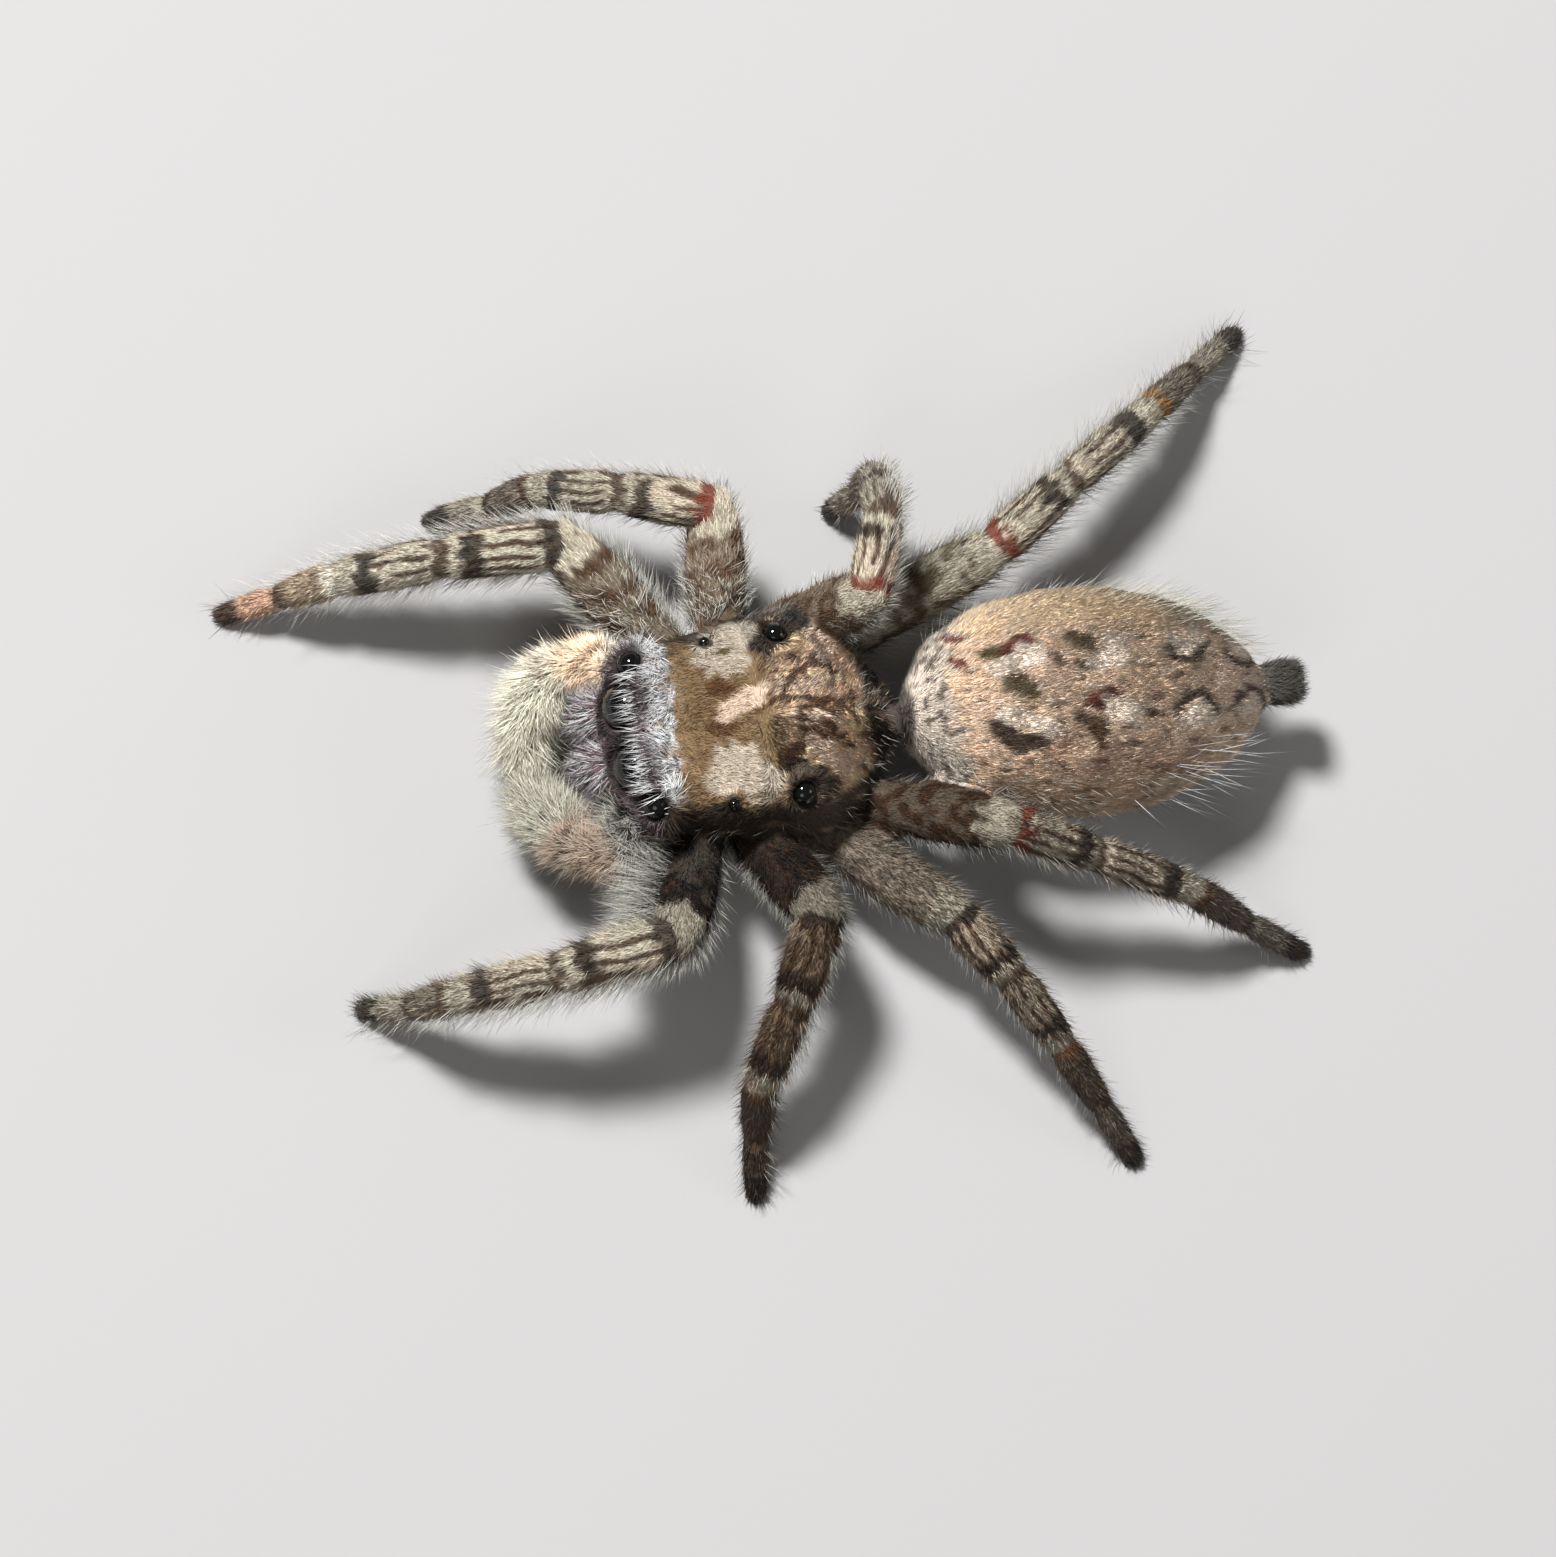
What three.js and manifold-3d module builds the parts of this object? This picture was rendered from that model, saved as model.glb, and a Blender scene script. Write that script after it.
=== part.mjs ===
// A jumping spider, still and life-size, about 12 mm long in the body. Millimetres, +Z up.
// The head points along -Y, the abdomen along +Y, and the spider's left side is +X.
// Its eight feet stand on small flats at z = 0, and the origin is the middle of its footprint.
// Each solid reaches out to the tips of the short coat that lies on it.
import * as THREE from "three";
import { mergeVertices } from "three/addons/utils/BufferGeometryUtils.js";
import Module from "manifold-3d";

const wasm = await Module();
wasm.setup();

// ---- Driving dimensions ----

const PARTING = 0.03; // width of the thin cut between two neighbouring pieces

// The cephalothorax is held head up and turned a little to its left.
const HEAD_UP = THREE.MathUtils.degToRad(12);
const HEAD_TURN = THREE.MathUtils.degToRad(4);
const RIM_HEIGHT = 1.25; // floor to the carapace's lower rim, under its middle

// Carapace: outline stops as [y, value] in its own frame, front to rear, rim at z = 0.
const CARAPACE = {
  front: -2.72,
  rear: 2.1,
  waist: 0.55, // height of the widest line
  halfWidth: [
    [-2.72, 1.36],
    [-1.3, 1.54],
    [-0.2, 1.7],
    [0.5, 1.8],
    [1.2, 1.6],
    [2.1, 0.85],
  ],
  top: [
    [-2.72, 1.3],
    [-1.3, 1.56],
    [-0.2, 1.76],
    [0.5, 1.68],
    [1.2, 1.28],
    [2.1, 0.62],
  ],
  bottom: [
    [-2.72, 0.4],
    [-1.6, 0.05],
    [0.6, 0],
    [2.1, 0.3],
  ],
};

// Eyes, on the left side, in the carapace's frame: centre and radius.
const EYES = {
  main: { at: [0.47, -2.52, 0.95], radius: 0.39 },
  front_side: { at: [1.1, -2.38, 1.03], radius: 0.22 },
  small: { at: [1.28, -1.2, 1.27], radius: 0.09 },
  rear: { at: [1.24, -0.1, 1.45], radius: 0.2 },
};

// Chelicerae and fangs, on the left side.
const CHELICERA = { top: [0.4, -2.35, 2.1], tip: [0.36, -2.74, 0.85], wide: 0.36, deep: 0.4, squareness: 2.7 };
const FANG = { length: 0.5, radius: 0.09 };

// Palps: the joints from base to tip, and the thickness of the brush of hair on each.
const PALP_JOINTS = {
  left: [
    [0.98, -2.1, 1.4],
    [1.78, -2.4, 1.8],
    [1.66, -3.0, 1.55],
    [1.1, -3.42, 1.2],
    [0.56, -3.6, 0.85],
  ],
  right: [
    [-0.98, -2.1, 1.4],
    [-1.22, -2.52, 1.82],
    [-1.17, -3.1, 1.5],
    [-0.66, -3.52, 1.15],
    [0.08, -3.62, 0.78],
  ],
};
const PALP_RADII = [0.24, 0.3, 0.4, 0.5, 0.34];

// Underside of the cephalothorax, in the carapace's frame.
const STERNUM = { at: [0, -0.2, -0.2], half: [0.62, 1.3, 0.24] };
const MOUTHPARTS = { at: [0, -1.78, -0.02], half: [0.46, 0.34, 0.26] };

// Abdomen, egg-shaped, and the spinnerets at its rear.
const ABDOMEN = {
  front: 2.16,
  rear: 7.95,
  halfWidth: 1.8,
  frontHeight: 1.9,
  rearHeight: 1.62,
  above: 1.42,
  below: 1.28,
  frontPower: 2.2,
  rearPower: 1.85,
};
const PEDICEL = { from: [0, 2.05, 1.25], to: [0, 2.75, 1.6], radius: 0.28 };
const SPINNERETS = { root: [-0.09, 7.68, 1.62], length: 0.68, radius: 0.19, spread: 0.17 };

// Legs, front pair to rear pair. The hip is the left one, before the head's turn.
const SEGMENTS = ["femur", "patella", "tibia", "metatarsus", "tarsus"];
const LEG_PAIRS = [
  {
    hip: [1.4, -1.25, 1.35],
    coxaRoot: [0.5, -0.9, 1.1],
    lengths: [2.5, 1.9, 1.65, 1.05, 0.85],
    radii: [0.42, 0.44, 0.39, 0.34, 0.27, 0.24],
  },
  {
    hip: [1.6, -0.35, 1.2],
    coxaRoot: [0.55, -0.3, 1.02],
    lengths: [2.15, 1.48, 1.37, 1.05, 0.85],
    radii: [0.4, 0.42, 0.38, 0.33, 0.27, 0.24],
  },
  {
    hip: [1.65, 0.75, 1.05],
    coxaRoot: [0.55, 0.35, 0.92],
    lengths: [2.5, 1.25, 1.4, 1.2, 1.0],
    radii: [0.4, 0.4, 0.35, 0.3, 0.26, 0.24],
  },
  {
    hip: [1.3, 1.6, 0.98],
    coxaRoot: [0.5, 0.98, 0.85],
    lengths: [2.8, 1.6, 1.9, 1.4, 1.15],
    radii: [0.4, 0.4, 0.35, 0.31, 0.26, 0.24],
  },
];
const COXA_RADIUS = 0.38;
const FEMUR_SWELL = 0.07; // extra radius in the middle of a femur
const LEG_DEPTH = 1.08; // a leg is a little deeper than it is wide
const FOOT_HEIGHT = 0.17; // floor to the middle of a tarsus at its tip

// The pose of each leg. Bearings turn from +X towards +Y: femur, knee to ankle, foot.
// Slopes are patella, tibia, metatarsus and tarsus. The femur's slope follows, so that the foot lands.
const POSES = {
  left: [
    { bearings: [-23, -81, -105], slopes: [-7, -30, -54, -50] },
    { bearings: [23, -23, -2], slopes: [-19, -36, -49, -23] },
    { bearings: [49, 37, 34], slopes: [-1, -21, -23, -29] },
    { bearings: [64, 71, 67], slopes: [-22, -24, -39, -31] },
  ],
  right: [
    { bearings: [-139, -87, -83], slopes: [-9, -23, -34, -31] },
    { bearings: [-179, -103, -87], slopes: [-4, -33, -52, -28] },
    { bearings: [86, 169, -84], slopes: [7, -54, -88, -78] },
    { bearings: [115, 126, 127], slopes: [3, -13, -32, -28] },
  ],
};
const SIDES = { left: 1, right: -1 };

// ---- Materials ----

const material = (color, roughness) => new THREE.MeshStandardMaterial({ color, roughness, metalness: 0 });
const CARAPACE_BROWN = material(0x8a6a48, 0.85);
const ABDOMEN_TAN = material(0xb0916f, 0.9);
const LEG_CREAM = material(0xc8b48e, 0.85);
const PALP_CREAM = material(0xe2d9b8, 0.9);
const UNDERSIDE_BROWN = material(0x4a3828, 0.8);
const CHELICERA_PURPLE = material(0x54343c, 0.45);
const FANG_BLACK = material(0x1a0f0c, 0.3);
const EYE_BLACK = material(0x0a0c0a, 0.08);
const SPINNERET_GREY = material(0x3c3c3e, 0.8);

// ---- Shapes ----

const vec = (p) => new THREE.Vector3(...p);
const power = (v, e) => Math.sign(v) * Math.abs(v) ** e;

// A smooth curve through stops [y, value], as a function of y, level outside its ends.
function through(stops) {
  const slope = (i) => {
    const a = stops[Math.max(i - 1, 0)];
    const b = stops[Math.min(i + 1, stops.length - 1)];
    return (b[1] - a[1]) / (b[0] - a[0]);
  };
  return (y) => {
    const t = THREE.MathUtils.clamp(y, stops[0][0], stops[stops.length - 1][0]);
    const i = Math.max(0, Math.min(stops.findIndex((s) => s[0] >= t) - 1, stops.length - 2));
    const [a, b] = [stops[i], stops[i + 1]];
    const span = b[0] - a[0];
    const u = (t - a[0]) / span;
    return (
      a[1] * (2 * u ** 3 - 3 * u ** 2 + 1) +
      slope(i) * span * (u ** 3 - 2 * u ** 2 + u) +
      b[1] * (3 * u ** 2 - 2 * u ** 3) +
      slope(i + 1) * span * (u ** 3 - u ** 2)
    );
  };
}

// A ball with poles on Y whose points are each moved by place(point).
function shapedBall(around, along, place) {
  const ball = new THREE.SphereGeometry(1, around, along);
  const points = ball.attributes.position;
  for (let i = 0; i < points.count; i++) {
    const p = place(new THREE.Vector3().fromBufferAttribute(points, i));
    points.setXYZ(i, p.x, p.y, p.z);
  }
  return ball;
}

// A closed geometry as a solid.
function solid(geometry, matrix = new THREE.Matrix4()) {
  const bare = geometry.clone().applyMatrix4(matrix);
  bare.deleteAttribute("normal");
  bare.deleteAttribute("uv");
  const merged = mergeVertices(bare, 1e-4);
  return new wasm.Manifold(
    new wasm.Mesh({
      numProp: 3,
      vertProperties: merged.attributes.position.array,
      triVerts: new Uint32Array(merged.index.array),
    }),
  );
}

// A solid as a named mesh.
function meshOf(name, made, finish) {
  const { vertProperties, triVerts } = made.getMesh();
  const geometry = new THREE.BufferGeometry();
  geometry.setAttribute("position", new THREE.BufferAttribute(vertProperties, 3));
  geometry.setIndex(new THREE.BufferAttribute(triVerts, 1));
  geometry.computeVertexNormals();
  const mesh = new THREE.Mesh(geometry, finish);
  mesh.name = name;
  return mesh;
}

// What is left of a solid on the side of a plane that its normal points to.
function keepBeyond(made, point, normal, gap) {
  return made.trimByPlane(normal.toArray(), normal.dot(point) + gap);
}

// A round-ended limb from a to b, of radius startRadius to endRadius, swollen in its middle.
function limb(a, b, startRadius, endRadius, { swell = 0, depth = 1, sides = 8 } = {}) {
  const along = b.clone().sub(a);
  const length = along.length();
  along.normalize();
  const [r0, r1] = [startRadius, endRadius];
  const lean = Math.SQRT1_2;
  const profile = [
    new THREE.Vector2(0, -r0),
    new THREE.Vector2(r0 * lean, -r0 * lean),
    new THREE.Vector2(r0, 0),
    ...(swell ? [new THREE.Vector2((r0 + r1) / 2 + swell, length / 2)] : []),
    new THREE.Vector2(r1, length),
    new THREE.Vector2(r1 * lean, length + r1 * lean),
    new THREE.Vector2(0, length + r1),
  ];
  const sideways = along.clone().cross(new THREE.Vector3(0, 0, 1)).normalize();
  const upwards = sideways.clone().cross(along);
  const place = new THREE.Matrix4().makeBasis(sideways, along, upwards).setPosition(a);
  const turned = new THREE.LatheGeometry(profile, sides).scale(1, 1, depth);
  return solid(turned, place);
}

const ellipsoid = (at, half, matrix) =>
  solid(new THREE.SphereGeometry(1, 12, 8).scale(...half).translate(...at), matrix);

// ---- Cephalothorax ----

const prosoma = new THREE.Group();
prosoma.position.z = RIM_HEIGHT;
prosoma.rotation.set(-HEAD_UP, 0, HEAD_TURN, "ZXY");
prosoma.updateMatrix();
const inProsoma = prosoma.matrix;

function carapaceShape(grow) {
  const { front, rear, waist } = CARAPACE;
  const [halfWidth, top, bottom] = [CARAPACE.halfWidth, CARAPACE.top, CARAPACE.bottom].map(through);
  const middle = (front + rear) / 2;
  const half = (rear - front) / 2;
  return shapedBall(20, 14, (p) => {
    const ring = Math.hypot(p.x, p.z);
    const squareness = p.y < 0 ? 4.5 : 2.6;
    const y = middle + half * power(p.y, 2 / squareness);
    const radial = ring ** (2 / squareness);
    const upper = p.z > 0;
    const corner = upper ? 2.5 : 3.4;
    const across = ring > 1e-6 ? power(p.x / ring, 2 / corner) : 0;
    const upright = ring > 1e-6 ? power(p.z / ring, 2 / corner) : 0;
    const reach = upper ? top(y) - waist : waist - bottom(y);
    return new THREE.Vector3(
      (halfWidth(y) + grow) * radial * across,
      y + grow * p.y,
      waist + (reach + grow) * radial * upright,
    );
  });
}

function eyeSolids(grow) {
  const eyes = {};
  for (const [side, sign] of Object.entries(SIDES))
    for (const [kind, { at, radius }] of Object.entries(EYES))
      eyes[`eye_${kind}_${side}`] = solid(
        new THREE.SphereGeometry(radius + grow, kind === "main" ? 12 : 8, kind === "main" ? 8 : 6)
          .translate(sign * at[0], at[1], at[2]),
        inProsoma,
      );
  return eyes;
}

const carapaceCutter = solid(carapaceShape(PARTING), inProsoma);
let carapace = solid(carapaceShape(0), inProsoma);
const eyes = eyeSolids(0);
for (const socket of Object.values(eyeSolids(PARTING))) carapace = carapace.subtract(socket);

const sternum = ellipsoid(STERNUM.at, STERNUM.half, inProsoma).subtract(carapaceCutter);
const sternumCutter = ellipsoid(STERNUM.at, STERNUM.half.map((h) => h + PARTING), inProsoma);
const mouthparts = ellipsoid(MOUTHPARTS.at, MOUTHPARTS.half, inProsoma)
  .subtract(carapaceCutter)
  .subtract(sternumCutter);

// ---- Chelicerae, fangs and palps ----

const mirrored = (p, sign) => new THREE.Vector3(sign * p[0], p[1], p[2]);

// A chelicera bulges forward below its root and narrows to its tip.
function chelicera(sign, grow = 0) {
  const top = mirrored(CHELICERA.top, sign);
  const tip = mirrored(CHELICERA.tip, sign);
  const down = tip.clone().sub(top);
  const half = down.length() / 2;
  down.normalize();
  const sideways = new THREE.Vector3(1, 0, 0);
  const forward = sideways.clone().cross(down).normalize();
  const place = new THREE.Matrix4()
    .makeBasis(sideways, down, forward)
    .setPosition(top.clone().add(tip).multiplyScalar(0.5));
  const body = shapedBall(10, 8, (p) => {
    const narrowing = 1 - 0.22 * Math.max(p.y, 0);
    const ring = Math.hypot(p.x, p.z) || 1;
    const fullness = (narrowing * ring ** (2 / CHELICERA.squareness)) / ring;
    return new THREE.Vector3(
      p.x * (CHELICERA.wide + grow) * fullness,
      power(p.y, 2 / CHELICERA.squareness) * (half + grow),
      p.z * (CHELICERA.deep + grow) * fullness,
    );
  });
  return solid(body, place);
}

function fang(sign) {
  const root = mirrored(CHELICERA.tip, sign).add(new THREE.Vector3(0, 0.02, 0.05));
  const end = root.clone().add(new THREE.Vector3(-0.45 * sign, 0.25, -0.35).setLength(FANG.length));
  return limb(root, end, FANG.radius, FANG.radius * 0.4, { sides: 6 });
}

// A round-ended brush along a smooth curve through its joints, with a radius at each.
function brush(joints, radii) {
  const curve = new THREE.CatmullRomCurve3(joints);
  const radius = through(radii.map((r, i) => [i / (radii.length - 1), r]));
  const rings = 10;
  const ends = 0.12; // share of the brush's length that each end rounds off in
  const body = shapedBall(10, rings, (p) => {
    const share = Math.acos(THREE.MathUtils.clamp(-p.y, -1, 1)) / Math.PI;
    const ring = Math.hypot(p.x, p.z) || 1;
    const along = curve.getTangent(share);
    const sideways = along.clone().cross(new THREE.Vector3(0, 0, 1)).normalize();
    const upwards = sideways.clone().cross(along);
    const fullness = Math.sqrt(Math.min(1, Math.min(share, 1 - share) / ends));
    const reach = share < 1e-6 || share > 1 - 1e-6 ? 0 : (radius(share) * fullness) / ring;
    return curve.getPoint(share).addScaledVector(sideways, p.x * reach).addScaledVector(upwards, p.z * reach);
  });
  return solid(body);
}

const midline = new THREE.Vector3(0, 0, 0);
const chelicerae = {};
const fangs = {};
const palps = {};
for (const [side, sign] of Object.entries(SIDES)) {
  const outward = new THREE.Vector3(sign, 0, 0);
  chelicerae[side] = keepBeyond(chelicera(sign), midline, outward, PARTING / 2)
    .subtract(carapaceCutter)
    .subtract(eyeSolids(PARTING)[`eye_main_${side}`]);
  fangs[side] = keepBeyond(fang(sign), midline, outward, PARTING / 2).subtract(chelicera(sign, PARTING));
  palps[side] = brush(PALP_JOINTS[side].map(vec), PALP_RADII)
    .subtract(carapaceCutter)
    .subtract(chelicera(1, PARTING))
    .subtract(chelicera(-1, PARTING))
    .subtract(sternumCutter);
}

// ---- Abdomen ----

function abdomenShape() {
  const { front, rear, halfWidth, frontHeight, rearHeight, above, below } = ABDOMEN;
  const middle = front + 0.48 * (rear - front);
  return shapedBall(20, 14, (p) => {
    const squareness = p.y < 0 ? ABDOMEN.frontPower : ABDOMEN.rearPower;
    const reach = p.y < 0 ? middle - front : rear - middle;
    const ring = Math.hypot(p.x, p.z);
    const radial = ring ** (2 / squareness);
    const round = ring > 1e-6 ? radial / ring : 0;
    const y = middle + reach * power(p.y, 2 / squareness);
    const share = (y - front) / (rear - front);
    return new THREE.Vector3(
      p.x * round * halfWidth,
      y,
      THREE.MathUtils.lerp(frontHeight, rearHeight, share) + p.z * round * (p.z > 0 ? above : below),
    );
  });
}

const pedicel = limb(vec(PEDICEL.from), vec(PEDICEL.to), PEDICEL.radius, PEDICEL.radius, { sides: 6 });
const abdomen = solid(abdomenShape()).add(pedicel).subtract(carapaceCutter);

function spinneretCluster() {
  const root = vec(SPINNERETS.root);
  const { length, radius, spread } = SPINNERETS;
  const tubes = [];
  for (const across of [-1, 1])
    for (const up of [-1, 1]) {
      const start = root.clone().add(new THREE.Vector3(across * spread * 0.5, 0, up * spread * 0.5));
      const end = root.clone().add(new THREE.Vector3(across * spread, length, up * spread * 0.8));
      tubes.push(limb(start, end, radius * 1.15, radius * 0.85, { sides: 6 }));
    }
  return tubes.reduce((a, b) => a.add(b));
}
const abdomenCutter = solid(abdomenShape(), new THREE.Matrix4().makeTranslation(0, PARTING, 0));
const spinnerets = spinneretCluster().subtract(abdomenCutter);

// ---- Legs ----

const direction = (bearing, slope) => {
  const [b, s] = [bearing, slope].map(THREE.MathUtils.degToRad);
  return new THREE.Vector3(Math.cos(s) * Math.cos(b), Math.cos(s) * Math.sin(b), Math.sin(s));
};

// The joints of one leg, hip to foot.
function legJoints(pair, side) {
  const { hip, lengths } = LEG_PAIRS[pair];
  const { bearings, slopes } = POSES[side][pair];
  const start = mirrored(hip, SIDES[side]).applyAxisAngle(new THREE.Vector3(0, 0, 1), HEAD_TURN);
  const below = slopes.map((slope, i) => lengths[i + 1] * Math.sin(THREE.MathUtils.degToRad(slope)));
  const kneeHeight = FOOT_HEIGHT - below.reduce((a, b) => a + b);
  const femurSlope = THREE.MathUtils.radToDeg(Math.asin((kneeHeight - start.z) / lengths[0]));
  const ways = [bearings[0], bearings[1], bearings[1], bearings[2], bearings[2]];
  const joints = [start];
  [femurSlope, ...slopes].forEach((slope, i) => {
    joints.push(joints[i].clone().addScaledVector(direction(ways[i], slope), lengths[i]));
  });
  return joints;
}

// A coxa runs out from the sternum to the hip, parted from the coxae before and behind it.
function coxa(pair, side) {
  const turn = (p) => mirrored(p, SIDES[side]).applyAxisAngle(new THREE.Vector3(0, 0, 1), HEAD_TURN);
  const ends = LEG_PAIRS.map(({ hip, coxaRoot }) => [turn(coxaRoot), turn(hip)]);
  const [root, hip] = ends[pair];
  let made = limb(root, hip, COXA_RADIUS, LEG_PAIRS[pair].radii[0], { sides: 6 });
  for (const other of [pair - 1, pair + 1]) {
    if (!ends[other]) continue;
    const inner = root.clone().add(ends[other][0]).multiplyScalar(0.5);
    const outer = hip.clone().add(ends[other][1]).multiplyScalar(0.5);
    const normal = outer.clone().sub(inner).cross(new THREE.Vector3(0, 0, 1)).normalize();
    if (normal.dot(hip.clone().sub(outer)) < 0) normal.negate();
    made = keepBeyond(made, inner, normal, PARTING / 2);
  }
  return keepBeyond(made, midline, new THREE.Vector3(SIDES[side], 0, 0), 0.1);
}

// The five pieces of a leg, parted at each joint by a plane that halves the bend.
function legSolids(pair, side) {
  const { radii } = LEG_PAIRS[pair];
  const joints = legJoints(pair, side);
  const ways = joints.slice(1).map((joint, i) => joint.clone().sub(joints[i]).normalize());
  return SEGMENTS.map((segment, i) => {
    let made = limb(joints[i], joints[i + 1], radii[i], radii[i + 1], {
      swell: segment === "femur" ? FEMUR_SWELL : 0,
      depth: LEG_DEPTH,
    });
    if (i > 0) made = keepBeyond(made, joints[i], ways[i - 1].clone().add(ways[i]).normalize(), PARTING / 2);
    if (i < 4)
      made = keepBeyond(made, joints[i + 1], ways[i].clone().add(ways[i + 1]).normalize().negate(), PARTING / 2);
    if (segment === "femur")
      made = made.add(coxa(pair, side)).subtract(carapaceCutter).subtract(sternumCutter);
    if (segment === "tarsus") made = keepBeyond(made, midline, new THREE.Vector3(0, 0, 1), 0);
    return made;
  });
}

// ---- The spider ----

const spider = new THREE.Group();
spider.add(meshOf("carapace", carapace, CARAPACE_BROWN));
for (const [name, eye] of Object.entries(eyes)) spider.add(meshOf(name, eye, EYE_BLACK));
spider.add(meshOf("sternum", sternum, UNDERSIDE_BROWN));
spider.add(meshOf("mouthparts", mouthparts, UNDERSIDE_BROWN));
spider.add(meshOf("abdomen", abdomen, ABDOMEN_TAN));
spider.add(meshOf("spinnerets", spinnerets, SPINNERET_GREY));
for (const side of Object.keys(SIDES)) {
  spider.add(meshOf(`chelicera_${side}`, chelicerae[side], CHELICERA_PURPLE));
  spider.add(meshOf(`fang_${side}`, fangs[side], FANG_BLACK));
  spider.add(meshOf(`palp_${side}`, palps[side], PALP_CREAM));
  LEG_PAIRS.forEach((_, pair) => {
    const leg = new THREE.Group();
    legSolids(pair, side).forEach((made, i) => {
      leg.add(meshOf(`${SEGMENTS[i]}_${side}_${pair + 1}`, made, LEG_CREAM));
    });
    spider.add(leg);
  });
}

const middle = new THREE.Box3().setFromObject(spider).getCenter(new THREE.Vector3());
spider.position.set(-middle.x, -middle.y, 0);

const part = new THREE.Group();
part.add(spider);
export default part;
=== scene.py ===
"""Dresses a still, life-size jumping spider: skin, coat, fringes, bristles, eyes, jaws, claws."""

import math
from typing import NamedTuple

import bmesh
import bpy
import numpy as np
from bpy.props import FloatProperty, FloatVectorProperty, IntProperty, PointerProperty
from mathutils import Matrix, Vector
from mathutils.bvhtree import BVHTree


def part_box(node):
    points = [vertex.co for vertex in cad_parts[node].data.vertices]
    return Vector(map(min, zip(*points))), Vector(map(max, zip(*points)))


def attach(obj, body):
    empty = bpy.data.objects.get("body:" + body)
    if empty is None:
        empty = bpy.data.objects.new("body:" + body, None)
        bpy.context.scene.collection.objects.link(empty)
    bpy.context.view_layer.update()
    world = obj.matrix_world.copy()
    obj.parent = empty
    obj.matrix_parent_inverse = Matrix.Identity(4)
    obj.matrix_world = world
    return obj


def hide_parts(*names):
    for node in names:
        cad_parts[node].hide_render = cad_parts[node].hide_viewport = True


bl_info = {
    "name": "Jumping spider",
    "version": (1, 0, 0),
    "blender": (4, 5, 0),
    "location": "3D View > Sidebar > Spider",
    "description": "Skin, coat, bristles, eyes, jaws and claws of a still jumping spider",
    "category": "Object",
}

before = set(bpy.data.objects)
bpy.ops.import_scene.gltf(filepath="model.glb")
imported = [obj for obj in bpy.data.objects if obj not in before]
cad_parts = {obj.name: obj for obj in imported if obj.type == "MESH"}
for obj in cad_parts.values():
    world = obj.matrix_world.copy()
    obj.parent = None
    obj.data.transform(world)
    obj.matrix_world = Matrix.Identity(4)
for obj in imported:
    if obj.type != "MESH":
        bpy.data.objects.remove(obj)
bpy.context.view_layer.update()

# ---- Names and units ----

MM = 0.001  # shapes are worked out in millimetres and stored in metres
SIDES = {"left": 1, "right": -1}
PAIRS = (1, 2, 3, 4)
SEGMENTS = ("femur", "patella", "tibia", "metatarsus", "tarsus")
BODY_NODES = ("carapace", "abdomen", "sternum", "mouthparts", "spinnerets")
PALP_NODES = ("palp_left", "palp_right")
LEG_NODES = tuple(f"{part}_{side}_{pair}" for side in SIDES for pair in PAIRS for part in SEGMENTS)
FLESH = BODY_NODES + PALP_NODES + LEG_NODES
EYE_KINDS = ("main", "front_side", "small", "rear")

# Parts of the body, as numbers kept on every point of the skin.
CARAPACE, ABDOMEN, UNDERSIDE, SPINNERET, PALP, LEG, JAW = range(7)
PART_OF = {"carapace": CARAPACE, "abdomen": ABDOMEN, "sternum": UNDERSIDE, "mouthparts": UNDERSIDE,
           "spinnerets": SPINNERET, "palp": PALP}


def linear(red, green, blue):
    """A screen colour of 0 to 255 as a linear one."""
    return tuple(((c / 255 + 0.055) / 1.055) ** 2.4 for c in (red, green, blue))


def colour_property(name, description, default):
    """A colour in the panel, whose default is given as a screen colour of 0 to 255."""
    return FloatVectorProperty(name=name, description=description, subtype="COLOR", size=3,
                               min=0, max=1, default=linear(*default))


def count_property(name, description, default, least=100):
    """A number of hairs in the panel."""
    return IntProperty(name=name, description=description, default=default, min=least)


def length_property(name, description, millimetres):
    """A length in the panel, whose default is given in millimetres."""
    return FloatProperty(name=name, description=description, default=millimetres * MM,
                         unit="LENGTH")


def angle_property(name, description, degrees):
    """An angle in the panel, whose default is given in degrees."""
    return FloatProperty(name=name, description=description, default=math.radians(degrees),
                         subtype="ANGLE")


class SpiderSkin(bpy.types.PropertyGroup):
    """Sizes of the skin under the coat."""

    cell: length_property("Cell", "Size of the skin's faces", 0.0635)
    coat_depth: length_property("Coat depth", "How far the skin lies inside the coat's tips", 0.06)
    joint_pinch: FloatProperty(name="Joint pinch", description="How much a leg narrows at a joint",
                               default=0.14, min=0, max=0.5, subtype="FACTOR")


class SpiderCoat(bpy.types.PropertyGroup):
    """Numbers and sizes of the hairs."""

    abdomen_hairs: count_property("Abdomen hairs", "Hairs on the abdomen", 76000)
    carapace_hairs: count_property("Carapace hairs", "Hairs on the carapace", 41000)
    leg_hairs: count_property("Leg hairs", "Short hairs on each leg", 15000)
    fringe_hairs: count_property("Fringe hairs", "Long hairs on each leg", 1600, least=10)
    palp_hairs: count_property("Palp hairs", "Hairs on each feeler", 6500)
    underside_hairs: count_property("Underside hairs", "Hairs on the underside", 8000)
    length: length_property("Length", "Length of the body's short hairs", 0.24)
    width: length_property("Width", "Width of a hair at its root", 0.034)


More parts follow.
